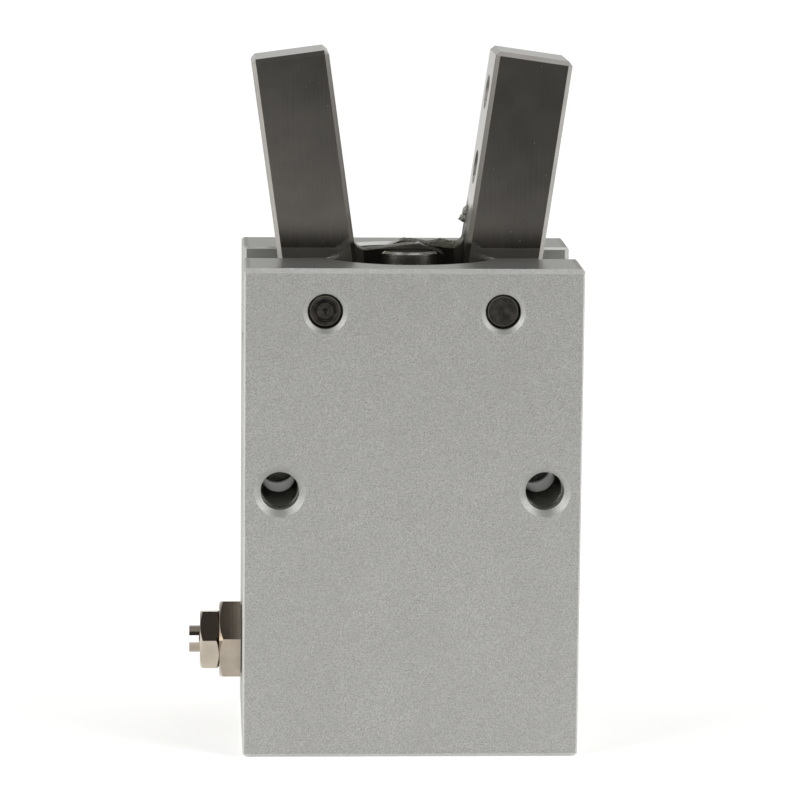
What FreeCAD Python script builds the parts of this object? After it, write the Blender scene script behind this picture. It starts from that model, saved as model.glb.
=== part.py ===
import FreeCAD, Part

import math
import os

# Pneumatic angular gripper, millimetres and degrees.
# Origin at the centre of the rear locating bore in the body's bottom face, +Z towards the
# finger tips, +X along the line of the two finger pivots, -Y towards the front face.

# Body block
BODY_WIDTH = 30.6
BODY_DEPTH = 23.6
BODY_HEIGHT = 44.9
BODY_UPRIGHT_EDGE = 0.15
BODY_TOP_EDGE = 0.4
BODY_TOP_SIDE_EDGE = 0.2
BODY_BOTTOM_EDGE = 0.3

# Cross holes through the body, for screws from the front or for threads at both ends
SIDE_HOLE_DIAMETER = 3.5
SIDE_HOLE_PITCH = 24.0
SIDE_HOLE_DROP = 20.3
SIDE_HOLE_COUNTERSINK = 0.575

# Finger pivots
PIVOT_PITCH = 16.0
PIVOT_DROP = 3.9
PIVOT_PIN_DIAMETER = 3.2
PIVOT_PIN_END_RECESS = 0.8
PIVOT_PIN_END_CHAMFER = 0.25
PIVOT_PIN_DIMPLE_DIAMETER = 0.6
PIVOT_PIN_DIMPLE_DEPTH = 0.25
PIVOT_PIN_RING_INSIDE = 1.5
PIVOT_PIN_RING_OUTSIDE = 2.1
PIVOT_PIN_RING_DEPTH = 0.12
PIVOT_HOLE_COUNTERSINK = 0.4
PIVOT_RUNNING_GAP = 0.02

# Finger levers and their swing, each angle counted outwards from the parallel position
FINGER_WIDTH = 7.1
FINGER_THICKNESS = 8.0
FINGER_REACH = 22.6
FINGER_CHAMFER = 0.4
FINGER_CORNER_CUT = 0.75
FINGER_LEAN_AT_REST = 8.0
FINGER_OPEN_ANGLE = 15.0
FINGER_CLOSED_ANGLE = -5.0
FINGER_SIDE_GAP = 0.1
FINGER_ROOT_GAP = 0.65
GRIP_THREAD_DRILL = 2.5
GRIP_THREAD_COUNTERSINK = 0.45
GRIP_THREAD_FROM_TIP = 4.0
GRIP_THREAD_PITCH = 7.0

# Finger tails, which lie side by side in the slot of the rod joint
TAIL_THICKNESS = 1.5
TAIL_GAP = 0.1
TAIL_LEDGE_HEIGHT = 3.7
TAIL_LEDGE_PAST_PIN = 1.5
TAIL_FILLET = 1.2
TAIL_END_SLOPE = 33.0
TAIL_PAST_PIN = 3.35
TAIL_UNDER_PIN = 1.9
TAIL_CORNER_RADIUS = 1.0

# Rod joint and the pin through both tails
JOINT_DIAMETER = 6.0
JOINT_RISE = 0.35
JOINT_CHAMFER = 0.2
JOINT_SIDE_GAP = 0.05
JOINT_SLOT_CLEARANCE = 0.8
JOINT_HUB_HEIGHT = 2.4
JOINT_FLOOR_GAP = 0.15
CENTRE_PIN_DIAMETER = 2.0
CENTRE_PIN_GAP = 0.03
CENTRE_PIN_END_RECESS = 0.3
CENTRE_PIN_SLACK = 0.05

# Finger slot and round pocket in the top of the body
SLOT_EDGE_CHAMFER = 0.2
SLOT_END_FLARE = 0.4
POCKET_DIAMETER = 17.0
POCKET_EDGE_CHAMFER = 0.3

# Piston rod, its guide and its seal in the partition
ROD_DIAMETER = 5.0
ROD_JOINT_SPIGOT_DIAMETER = 3.0
ROD_JOINT_SPIGOT_LENGTH = 2.0
ROD_PISTON_SPIGOT_DIAMETER = 4.0
ROD_PILOT_DEPTH = 4.0
ROD_BUSH_GAP = 0.02
ROD_PARTITION_GAP = 0.2
BUSH_DIAMETER = 7.0
BUSH_LENGTH = 2.0
ROD_SEAL_DIAMETER = 9.0
ROD_SEAL_HEIGHT = 1.8
ROD_SEAL_GAP = 0.03
RETAINER_THICKNESS = 1.0

# Cylinder and piston
CYLINDER_BORE = 16.0
PISTON_GAP = 0.1
PISTON_EDGE_CHAMFER = 0.4
PISTON_STOP_GAP = 0.05
PISTON_SEAL_FROM_TOP = 2.5
PISTON_SEAL_WIDTH = 1.8
PISTON_SEAL_DEPTH = 1.7
PISTON_SEAL_GAP = 0.03
MAGNET_FROM_BOTTOM = 5.0
MAGNET_WIDTH = 3.2
MAGNET_DEPTH = 2.2
MAGNET_GAP = 0.3
GROOVE_SLACK = 0.1
NUT_ACROSS_FLATS = 7.0
NUT_THICKNESS = 2.2
NUT_RECESS_DIAMETER = 9.0
NUT_RECESS_DEPTH = 2.8

# Soft end stops
FRONT_BUMPER_DIAMETER = 13.0
FRONT_BUMPER_THICKNESS = 1.2
FRONT_BUMPER_ROD_GAP = 0.5
REAR_BUMPER_DIAMETER = 12.0
REAR_BUMPER_THICKNESS = 2.0
REAR_BUMPER_RECESS_DIAMETER = 8.0
REAR_BUMPER_RECESS_DEPTH = 0.7

# Rear end: locating bore, retaining clip, cap
LOCATING_BORE = 17.0
LOCATING_DEPTH = 1.6
CLIP_THICKNESS = 0.95
CLIP_GROOVE_DEPTH = 0.5
CLIP_GROOVE_SLACK = 0.05
CLIP_BAND = 1.4
CLIP_GAP_HALF_ANGLE = 24.0
CLIP_LUG_RADIUS = 1.25
CLIP_LUG_HOLE = 0.9
CAP_THICKNESS = 4.8
CAP_GAP = 0.02
CAP_DISH_DIAMETER = 10.0
CAP_DISH_DEPTH = 0.6
CAP_EDGE_CHAMFER = 0.4
CAP_RING_SECTION = 1.3
CAP_RING_SQUEEZE_GAP = 0.01

# Threads in the bottom face
REAR_THREAD_DRILL = 3.3
REAR_THREAD_PITCH = 24.0
REAR_THREAD_DEPTH = 4.6
REAR_THREAD_COUNTERSINK = 0.5
DRILL_POINT_ANGLE = 118.0

# Air ports and drillings on the left side
PORT_DRILL = 4.2
PORT_DEPTH = 5.0
PORT_COUNTERSINK = 0.5
OPENING_PORT_BELOW_SIDE_HOLE = 6.6
AIR_HOLE_DIAMETER = 1.6
AIR_HOLE_BELOW_BORE_END = 0.85

# Throttle needle group on the left side
NEEDLE_HEIGHT = 8.4
NEEDLE_BORE = 5.0
NEEDLE_BORE_DEPTH = 5.4
NEEDLE_ORIFICE = 1.2
GASKET_DIAMETER = 6.4
GASKET_THICKNESS = 0.1
BUSHING_ACROSS_FLATS = 7.0
BUSHING_HEX_LENGTH = 2.0
BUSHING_TURN = 11.9
BUSHING_SHANK_LENGTH = 3.6
BUSHING_COLLAR_DEPTH = 2.2
LOCKNUT_ACROSS_FLATS = 5.3
LOCKNUT_LENGTH = 1.8
LOCKNUT_TURN = 8.8
HEX_CHAMFER_ANGLE = 30.0
HEX_FACE_SHARE = 0.98
NEEDLE_STEM_DIAMETER = 2.5
NEEDLE_STEM_GAP = 0.05
NEEDLE_PROJECTION = 1.0
NEEDLE_SLOT_WIDTH = 0.65
NEEDLE_SLOT_DEPTH = 0.9
NEEDLE_SLOT_TURN = 12.0
NEEDLE_COLLAR_DIAMETER = 3.3
NEEDLE_COLLAR_END_GAP = 0.2
NEEDLE_RING_SECTION = 0.64
NEEDLE_RING_SEAT_GAP = 0.01
NEEDLE_RING_WALL = 0.5
NEEDLE_TIP_DIAMETER = 0.6
NEEDLE_TIP_ENTRY = 0.4
NEEDLE_CONE_LENGTH = 1.9

# Round switch grooves in the back face
SWITCH_GROOVE_DIAMETER = 4.2
SWITCH_GROOVE_MOUTH = 3.0
SWITCH_GROOVE_SPACING = 15.0
SWITCH_GROOVE_INSET = 2.4
SWITCH_GROOVE_LENGTH = 34.0

# How far a cutting tool runs past the surface that it opens
RUN_OUT = 1.0

# Places worked out from the sizes above
FRONT = -BODY_DEPTH / 2
BACK = BODY_DEPTH / 2
LEFT = -BODY_WIDTH / 2
PIVOT_Z = BODY_HEIGHT - PIVOT_DROP
ARM = PIVOT_PITCH / 2
MID_ANGLE = math.radians((FINGER_OPEN_ANGLE + FINGER_CLOSED_ANGLE) / 2)
HALF_SWING = math.radians((FINGER_OPEN_ANGLE - FINGER_CLOSED_ANGLE) / 2)
REST_ANGLE = math.radians(FINGER_LEAN_AT_REST)

# The centre pin rises and falls with the fingers, almost in proportion to their angle.
TRAVEL_PER_RADIAN = ARM * math.tan(HALF_SWING) / HALF_SWING
TRAVEL_UP = TRAVEL_PER_RADIAN * (math.radians(FINGER_OPEN_ANGLE) - REST_ANGLE)
TRAVEL_DOWN = TRAVEL_PER_RADIAN * (REST_ANGLE - math.radians(FINGER_CLOSED_ANGLE))
CENTRE_PIN_Z = PIVOT_Z + ARM * math.tan(REST_ANGLE - MID_ANGLE)

JOINT_SLOT_WIDTH = 2 * TAIL_THICKNESS + TAIL_GAP + 2 * JOINT_SIDE_GAP
JOINT_SLOT_FLOOR = CENTRE_PIN_Z - TAIL_UNDER_PIN - JOINT_SLOT_CLEARANCE
JOINT_BOTTOM = JOINT_SLOT_FLOOR - JOINT_HUB_HEIGHT
JOINT_TOP = BODY_HEIGHT + JOINT_RISE
SLOT_FLOOR = PIVOT_Z - FINGER_WIDTH / 2 - FINGER_ROOT_GAP
POCKET_FLOOR = JOINT_BOTTOM - TRAVEL_DOWN - JOINT_FLOOR_GAP
RETAINER_BOTTOM = POCKET_FLOOR - RETAINER_THICKNESS
ROD_SEAL_BOTTOM = RETAINER_BOTTOM - ROD_SEAL_HEIGHT
BORE_END = ROD_SEAL_BOTTOM - BUSH_LENGTH
SIDE_HOLE_Z = BODY_HEIGHT - SIDE_HOLE_DROP

CLIP_BOTTOM = LOCATING_DEPTH + CLIP_GROOVE_SLACK
CAP_BOTTOM = CLIP_BOTTOM + CLIP_THICKNESS
CAP_TOP = CAP_BOTTOM + CAP_THICKNESS
REAR_BUMPER_TOP = CAP_TOP + REAR_BUMPER_THICKNESS
PISTON_BOTTOM = REAR_BUMPER_TOP + TRAVEL_DOWN + PISTON_STOP_GAP
PISTON_TOP = BORE_END - FRONT_BUMPER_THICKNESS - TRAVEL_UP - PISTON_STOP_GAP
PISTON_RADIUS = CYLINDER_BORE / 2 - PISTON_GAP
PISTON_SEAL_Z = PISTON_TOP - PISTON_SEAL_FROM_TOP
MAGNET_Z = PISTON_BOTTOM + MAGNET_FROM_BOTTOM
ROD_SHOULDER = PISTON_TOP - ROD_PILOT_DEPTH
NUT_SEAT = PISTON_BOTTOM + NUT_RECESS_DEPTH

BUSHING_SEAT = LEFT - GASKET_THICKNESS
BUSHING_FACE = BUSHING_SEAT - BUSHING_HEX_LENGTH
BUSHING_INNER_END = LEFT + BUSHING_SHANK_LENGTH
BUSHING_COLLAR_STEP = BUSHING_INNER_END - BUSHING_COLLAR_DEPTH
LOCKNUT_FACE = BUSHING_FACE - LOCKNUT_LENGTH
NEEDLE_FACE = LOCKNUT_FACE - NEEDLE_PROJECTION
NEEDLE_BORE_END = LEFT + NEEDLE_BORE_DEPTH
NEEDLE_TIP = NEEDLE_BORE_END + NEEDLE_TIP_ENTRY
NEEDLE_COLLAR_BORE = NEEDLE_COLLAR_DIAMETER + 2 * NEEDLE_STEM_GAP


def point(x, y, z):
    return FreeCAD.Vector(x, y, z)


def rod_z(diameter, bottom, top, x=0.0, y=0.0):
    """Round bar standing upright."""
    return Part.makeCylinder(diameter / 2, top - bottom, point(x, y, bottom), point(0, 0, 1))


def rod_y(diameter, front, back, x, z):
    """Round bar lying from front to back."""
    return Part.makeCylinder(diameter / 2, back - front, point(x, front, z), point(0, 1, 0))


def rod_x(diameter, left, right, z):
    """Round bar lying from left to right in the middle of the body's depth."""
    return Part.makeCylinder(diameter / 2, right - left, point(left, 0, z), point(1, 0, 0))


def countersink(hole_diameter, depth, mouth, inwards):
    """45 degree cone that breaks the edge of a hole whose mouth centre and direction are given."""
    outside = mouth - inwards * RUN_OUT
    wide = hole_diameter / 2 + depth + RUN_OUT
    narrow = hole_diameter / 2
    return Part.makeCone(wide, narrow, depth + RUN_OUT, outside, inwards)


def profile_face(points):
    """Flat face with straight sides between the points."""
    return Part.Face(Part.makePolygon(points + points[:1]))


def turned_z(outline):
    """Solid turned about the upright axis from (radius, height) points."""
    face = profile_face([point(radius, 0, height) for radius, height in outline])
    return face.revolve(point(0, 0, 0), point(0, 0, 1), 360)


def turned_x(outline, axis_z):
    """Solid turned about a left-to-right axis from (radius, x) points."""
    face = profile_face([point(x, 0, axis_z + radius) for radius, x in outline])
    return face.revolve(point(0, 0, axis_z), point(1, 0, 0), 360)


def tube_z(outer_diameter, inner_diameter, bottom, top):
    """Ring standing upright."""
    core = rod_z(inner_diameter, bottom - RUN_OUT, top + RUN_OUT)
    return rod_z(outer_diameter, bottom, top).cut(core)


def cut_corners(width, low, high, low_cut, high_cut):
    """Corner points of a rectangle of a given width, its low and high corners cut at 45 degrees."""
    half = width / 2
    return [
        (-half + low_cut, low),
        (half - low_cut, low),
        (half, low + low_cut),
        (half, high - high_cut),
        (half - high_cut, high),
        (-half + high_cut, high),
        (-half, high - high_cut),
        (-half, low + low_cut),
    ]


def hexagon(across_flats):
    """Corner points of a hexagon with a corner on its first axis and flats on its second."""
    corner = across_flats / math.sqrt(3)
    angles = [math.radians(60 * side) for side in range(6)]
    return [(corner * math.cos(angle), corner * math.sin(angle)) for angle in angles]


def hex_bar_x(across_flats, left, right, axis_z, turn, chamfer_right):
    """Hexagon bar along X, its front corner turned up, with turned chamfers on its left end and,
    if wanted, on its right end."""
    face = profile_face([point(left, y, axis_z + z) for y, z in hexagon(across_flats)])
    bar = face.extrude(point(right - left, 0, 0))
    bar.rotate(point(0, 0, axis_z), point(-1, 0, 0), turn)
    corner = across_flats / math.sqrt(3)
    rim = across_flats / 2 * HEX_FACE_SHARE
    slope = (corner - rim) * math.tan(math.radians(HEX_CHAMFER_ANGLE))
    outline = [(0, left), (rim, left), (corner, left + slope)]
    if chamfer_right:
        outline += [(corner, right - slope), (rim, right), (0, right)]
    else:
        outline += [(corner, right), (0, right)]
    return bar.common(turned_x(outline, axis_z))


def body_block():
    """Outer block with all edges broken, the upright ones the least."""
    plan = cut_corners(BODY_WIDTH, FRONT, BACK, BODY_UPRIGHT_EDGE, BODY_UPRIGHT_EDGE)
    front = cut_corners(BODY_WIDTH, 0, BODY_HEIGHT, BODY_BOTTOM_EDGE, BODY_TOP_SIDE_EDGE)
    side = cut_corners(BODY_DEPTH, 0, BODY_HEIGHT, BODY_BOTTOM_EDGE, BODY_TOP_EDGE)
    block = profile_face([point(x, y, 0) for x, y in plan]).extrude(point(0, 0, BODY_HEIGHT))
    across = profile_face([point(x, FRONT, z) for x, z in front]).extrude(point(0, BODY_DEPTH, 0))
    along = profile_face([point(LEFT, y, z) for y, z in side]).extrude(point(BODY_WIDTH, 0, 0))
    return block.common(across).common(along)


def finger_slot():
    """Slot across the top for the fingers, its long edges and its ends flared by a chamfer."""
    half = FINGER_THICKNESS / 2 + FINGER_SIDE_GAP
    edge = SLOT_EDGE_CHAMFER
    flare = SLOT_END_FLARE
    start = LEFT - RUN_OUT
    top = BODY_HEIGHT + RUN_OUT
    section = [
        point(start, -half, SLOT_FLOOR),
        point(start, half, SLOT_FLOOR),
        point(start, half, BODY_HEIGHT - edge),
        point(start, half + edge + RUN_OUT, top),
        point(start, -half - edge - RUN_OUT, top),
        point(start, -half, BODY_HEIGHT - edge),
    ]
    slot = profile_face(section).extrude(point(BODY_WIDTH + 2 * RUN_OUT, 0, 0))
    for side in (-1, 1):
        end = side * (BODY_WIDTH / 2 + RUN_OUT)
        inner = side * (BODY_WIDTH / 2 - flare)
        plan = [
            point(inner, -half, SLOT_FLOOR),
            point(end, -half - flare - RUN_OUT, SLOT_FLOOR),
            point(end, half + flare + RUN_OUT, SLOT_FLOOR),
            point(inner, half, SLOT_FLOOR),
        ]
        slot = slot.fuse(profile_face(plan).extrude(point(0, 0, top - SLOT_FLOOR)))
    return slot


def pivot_holes():
    """Holes for the two pivot pins, countersunk at both faces."""
    cuts = []
    for x in (-ARM, ARM):
        cuts.append(rod_y(PIVOT_PIN_DIAMETER, FRONT - RUN_OUT, BACK + RUN_OUT, x, PIVOT_Z))
        for face, inwards in ((FRONT, point(0, 1, 0)), (BACK, point(0, -1, 0))):
            mouth = point(x, face, PIVOT_Z)
            cuts.append(countersink(PIVOT_PIN_DIAMETER, PIVOT_HOLE_COUNTERSINK, mouth, inwards))
    return cuts


def side_holes():
    """Two mounting holes from front to back, countersunk at both faces."""
    cuts = []
    for x in (-SIDE_HOLE_PITCH / 2, SIDE_HOLE_PITCH / 2):
        cuts.append(rod_y(SIDE_HOLE_DIAMETER, FRONT - RUN_OUT, BACK + RUN_OUT, x, SIDE_HOLE_Z))
        for face, inwards in ((FRONT, point(0, 1, 0)), (BACK, point(0, -1, 0))):
            mouth = point(x, face, SIDE_HOLE_Z)
            cuts.append(countersink(SIDE_HOLE_DIAMETER, SIDE_HOLE_COUNTERSINK, mouth, inwards))
    return cuts


def rear_threads():
    """Two blind threads in the bottom face, with the drill's point at their ends."""
    cuts = []
    radius = REAR_THREAD_DRILL / 2
    point_height = radius / math.tan(math.radians(DRILL_POINT_ANGLE / 2))
    for x in (-REAR_THREAD_PITCH / 2, REAR_THREAD_PITCH / 2):
        cuts.append(rod_z(REAR_THREAD_DRILL, -RUN_OUT, REAR_THREAD_DEPTH, x))
        cuts.append(Part.makeCone(radius, 0, point_height, point(x, 0, REAR_THREAD_DEPTH), point(0, 0, 1)))
        cuts.append(countersink(REAR_THREAD_DRILL, REAR_THREAD_COUNTERSINK, point(x, 0, 0), point(0, 0, 1)))
    return cuts


def cylinder_cavity():
    """Bore, cap seat, clip groove, the stepped rod hole in the partition and the pocket above it."""
    groove = LOCATING_BORE + 2 * CLIP_GROOVE_DEPTH
    return [
        rod_z(CYLINDER_BORE, -RUN_OUT, BORE_END),
        rod_z(LOCATING_BORE, -RUN_OUT, CAP_TOP),
        rod_z(groove, LOCATING_DEPTH, CAP_BOTTOM),
        rod_z(BUSH_DIAMETER, BORE_END - RUN_OUT, ROD_SEAL_BOTTOM),
        rod_z(ROD_SEAL_DIAMETER, ROD_SEAL_BOTTOM, POCKET_FLOOR + RUN_OUT),
        rod_z(POCKET_DIAMETER, POCKET_FLOOR, BODY_HEIGHT + RUN_OUT),
        countersink(POCKET_DIAMETER, POCKET_EDGE_CHAMFER, point(0, 0, BODY_HEIGHT), point(0, 0, -1)),
    ]


def air_ways():
    """Both threaded ports, the needle bore and the drillings between them and the cylinder."""
    closing_z = BORE_END
    opening_z = SIDE_HOLE_Z - OPENING_PORT_BELOW_SIDE_HOLE
    port_end = LEFT + PORT_DEPTH
    cuts = [
        rod_x(NEEDLE_BORE, LEFT - RUN_OUT, NEEDLE_BORE_END, NEEDLE_HEIGHT),
        rod_x(NEEDLE_ORIFICE, NEEDLE_BORE_END, 0, NEEDLE_HEIGHT),
        rod_x(AIR_HOLE_DIAMETER, port_end, 0, BORE_END - AIR_HOLE_BELOW_BORE_END),
    ]
    for z in (closing_z, opening_z):
        cuts.append(rod_x(PORT_DRILL, LEFT - RUN_OUT, port_end, z))
        cuts.append(countersink(PORT_DRILL, PORT_COUNTERSINK, point(LEFT, 0, z), point(1, 0, 0)))
    start = point(LEFT + AIR_HOLE_DIAMETER, 0, opening_z - PORT_DRILL / 4)
    chamber = point((BUSHING_INNER_END + NEEDLE_BORE_END) / 2, 0, NEEDLE_HEIGHT + NEEDLE_BORE / 4)
    way = chamber - start
    cuts.append(Part.makeCylinder(AIR_HOLE_DIAMETER / 2, way.Length, start, way))
    return cuts


def switch_grooves():
    """Two round grooves in the back face, open at the bottom, for position switches."""
    cuts = []
    for x in (-SWITCH_GROOVE_SPACING / 2, SWITCH_GROOVE_SPACING / 2):
        y = BACK - SWITCH_GROOVE_INSET
        cuts.append(rod_z(SWITCH_GROOVE_DIAMETER, -RUN_OUT, SWITCH_GROOVE_LENGTH, x, y))
        corner = point(x - SWITCH_GROOVE_MOUTH / 2, y, -RUN_OUT)
        height = SWITCH_GROOVE_LENGTH + RUN_OUT
        cuts.append(Part.makeBox(SWITCH_GROOVE_MOUTH, SWITCH_GROOVE_INSET + RUN_OUT, height, corner))
    return cuts


def body():
    cuts = [finger_slot()]
    cuts += pivot_holes()
    cuts += side_holes()
    cuts += rear_threads()
    cuts += cylinder_cavity()
    cuts += air_ways()
    cuts += switch_grooves()
    return body_block().cut(cuts)


def tail_outline():
    """Tail seen from the front, pivot at the origin: fillet, straight ledge, sloped end, round corner."""
    inner = FINGER_WIDTH / 2
    half_way = math.sqrt(0.5)
    inside_blade = point(0, 0, TAIL_LEDGE_HEIGHT + TAIL_FILLET)
    fillet_start = point(inner, 0, TAIL_LEDGE_HEIGHT + TAIL_FILLET)
    fillet_centre = fillet_start + point(TAIL_FILLET, 0, 0)
    fillet_middle = fillet_centre + point(-half_way, 0, -half_way) * TAIL_FILLET
    fillet_end = point(inner + TAIL_FILLET, 0, TAIL_LEDGE_HEIGHT)
    ledge_end = point(ARM + TAIL_LEDGE_PAST_PIN, 0, TAIL_LEDGE_HEIGHT)

    # The slope falls from the ledge to the flat end, which stands square to the line of pivot and pin.
    along = point(math.cos(MID_ANGLE), 0, -math.sin(MID_ANGLE))
    across = point(-math.sin(MID_ANGLE), 0, -math.cos(MID_ANGLE))
    fall = math.radians(TAIL_END_SLOPE)
    slope = point(math.cos(fall), 0, -math.sin(fall))
    end_reach = ARM + TAIL_PAST_PIN
    slope_end = ledge_end + slope * ((end_reach - ledge_end.dot(along)) / slope.dot(along))
    corner = TAIL_CORNER_RADIUS
    corner_centre = along * (end_reach - corner) + across * (TAIL_UNDER_PIN - corner)
    corner_start = corner_centre + along * corner
    corner_middle = corner_centre + (along + across) * (half_way * corner)
    corner_end = corner_centre + across * corner
    under_pivot = across * TAIL_UNDER_PIN
    edges = [
        Part.LineSegment(inside_blade, fillet_start),
        Part.Arc(fillet_start, fillet_middle, fillet_end),
        Part.LineSegment(fillet_end, ledge_end),
        Part.LineSegment(ledge_end, slope_end),
        Part.LineSegment(slope_end, corner_start),
        Part.Arc(corner_start, corner_middle, corner_end),
        Part.LineSegment(corner_end, under_pivot),
        Part.LineSegment(under_pivot, inside_blade),
    ]
    return Part.Wire([edge.toShape() for edge in edges])


def tail_slot():
    """Long hole in which the centre pin slides a little as the finger swings."""
    width = CENTRE_PIN_DIAMETER + 2 * CENTRE_PIN_GAP
    near = ARM - CENTRE_PIN_SLACK
    far = ARM / math.cos(HALF_SWING) + CENTRE_PIN_SLACK
    front = -FINGER_THICKNESS / 2
    back = FINGER_THICKNESS / 2
    slot = rod_y(width, front, back, near, 0).fuse(rod_y(width, front, back, far, 0))
    between = Part.makeBox(far - near, FINGER_THICKNESS, width, point(near, front, -width / 2))
    slot = slot.fuse(between)
    slot.rotate(point(0, 0, 0), point(0, 1, 0), math.degrees(MID_ANGLE))
    return slot


def grip_threads():
    """Two threads through the blade for the gripping tools, countersunk on both faces."""
    cuts = []
    half = FINGER_WIDTH / 2
    for step in (0, 1):
        z = FINGER_REACH - GRIP_THREAD_FROM_TIP - step * GRIP_THREAD_PITCH
        cuts.append(rod_x(GRIP_THREAD_DRILL, -half - RUN_OUT, half + RUN_OUT, z))
        for side in (-1, 1):
            mouth = point(side * half, 0, z)
            cuts.append(countersink(GRIP_THREAD_DRILL, GRIP_THREAD_COUNTERSINK, mouth, point(-side, 0, 0)))
    return cuts


def tip_corners():
    """The four corners of the blade's tip, cut off flat across the chamfers that meet there."""
    cuts = []
    size = FINGER_CORNER_CUT
    for side in (-1, 1):
        for face in (-1, 1):
            corner = point(side * FINGER_WIDTH / 2, face * FINGER_THICKNESS / 2, FINGER_REACH)
            inwards = (point(-side, 0, 0), point(0, -face, 0), point(0, 0, -1))
            triangle = profile_face([corner + way * size for way in inwards])
            cuts.append(triangle.extrude(point(side, face, 1) * size))
    return cuts


def left_finger():
    """Blade, rounded root and the tail towards the middle, leaning outwards as at rest."""
    half_thickness = FINGER_THICKNESS / 2
    blade = Part.makeBox(FINGER_WIDTH, FINGER_THICKNESS, FINGER_REACH,
                         point(-FINGER_WIDTH / 2, -half_thickness, 0))
    free_edges = [edge for edge in blade.Edges if edge.BoundBox.ZMax > 0]
    blade = blade.makeChamfer(FINGER_CHAMFER, free_edges)
    root = rod_y(FINGER_WIDTH, -half_thickness, half_thickness, 0, 0)
    tail = Part.Face(tail_outline()).extrude(point(0, TAIL_THICKNESS, 0))
    tail.translate(point(0, -TAIL_GAP / 2 - TAIL_THICKNESS, 0))
    finger = blade.fuse([root, tail])
    bore = PIVOT_PIN_DIAMETER + 2 * PIVOT_RUNNING_GAP
    cuts = [rod_y(bore, -FINGER_THICKNESS, FINGER_THICKNESS, 0, 0), tail_slot()]
    cuts += grip_threads()
    cuts += tip_corners()
    finger = finger.cut(cuts).removeSplitter()
    finger.rotate(point(0, 0, 0), point(0, 1, 0), -FINGER_LEAN_AT_REST)
    finger.translate(point(-ARM, 0, PIVOT_Z))
    return finger


def right_finger():
    """The same part turned half round, so that the tails pass each other."""
    finger = left_finger()
    finger.rotate(point(0, 0, 0), point(0, 0, 1), 180)
    return finger


def pivot_pin(x, dimple_side):
    """Pin with broken edges, and the turning dimple and ring in one of its ends."""
    length = BODY_DEPTH - 2 * PIVOT_PIN_END_RECESS
    radius = PIVOT_PIN_DIAMETER / 2
    edge = PIVOT_PIN_END_CHAMFER
    ring = PIVOT_PIN_RING_DEPTH
    outline = [
        (0, PIVOT_PIN_DIMPLE_DEPTH),
        (PIVOT_PIN_DIMPLE_DIAMETER / 2, 0),
        (PIVOT_PIN_RING_INSIDE / 2, 0),
        (PIVOT_PIN_RING_INSIDE / 2 + ring, ring),
        (PIVOT_PIN_RING_OUTSIDE / 2 - ring, ring),
        (PIVOT_PIN_RING_OUTSIDE / 2, 0),
        (radius - edge, 0),
        (radius, edge),
        (radius, length - edge),
        (radius - edge, length),
        (0, length),
    ]
    pin = turned_z(outline)
    pin.translate(point(0, 0, -length / 2))
    pin.rotate(point(0, 0, 0), point(1, 0, 0), 90 * dimple_side)
    pin.translate(point(x, 0, PIVOT_Z))
    return pin


def rod_joint():
    """Round head on the rod, slotted for the two tails."""
    radius = JOINT_DIAMETER / 2
    outline = [
        (0, JOINT_BOTTOM),
        (radius, JOINT_BOTTOM),
        (radius, JOINT_TOP - JOINT_CHAMFER),
        (radius - JOINT_CHAMFER, JOINT_TOP),
        (0, JOINT_TOP),
    ]
    slot_height = JOINT_TOP + RUN_OUT - JOINT_SLOT_FLOOR
    slot = Part.makeBox(JOINT_DIAMETER + 2 * RUN_OUT, JOINT_SLOT_WIDTH, slot_height,
                        point(-radius - RUN_OUT, -JOINT_SLOT_WIDTH / 2, JOINT_SLOT_FLOOR))
    pin_hole = rod_y(CENTRE_PIN_DIAMETER, -JOINT_DIAMETER, JOINT_DIAMETER, 0, CENTRE_PIN_Z)
    socket_top = JOINT_BOTTOM + ROD_JOINT_SPIGOT_LENGTH
    socket = rod_z(ROD_JOINT_SPIGOT_DIAMETER, JOINT_BOTTOM - RUN_OUT, socket_top)
    return turned_z(outline).cut([slot, pin_hole, socket])


def centre_pin():
    half = JOINT_DIAMETER / 2 - CENTRE_PIN_END_RECESS
    return rod_y(CENTRE_PIN_DIAMETER, -half, half, 0, CENTRE_PIN_Z)


def piston_rod():
    """Rod with a spigot into the joint above and a longer one through the piston below."""
    nut_end = NUT_SEAT - NUT_THICKNESS
    outline = [
        (0, nut_end),
        (ROD_PISTON_SPIGOT_DIAMETER / 2, nut_end),
        (ROD_PISTON_SPIGOT_DIAMETER / 2, ROD_SHOULDER),
        (ROD_DIAMETER / 2, ROD_SHOULDER),
        (ROD_DIAMETER / 2, JOINT_BOTTOM),
        (ROD_JOINT_SPIGOT_DIAMETER / 2, JOINT_BOTTOM),
        (ROD_JOINT_SPIGOT_DIAMETER / 2, JOINT_BOTTOM + ROD_JOINT_SPIGOT_LENGTH),
        (0, JOINT_BOTTOM + ROD_JOINT_SPIGOT_LENGTH),
    ]
    return turned_z(outline)


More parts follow.
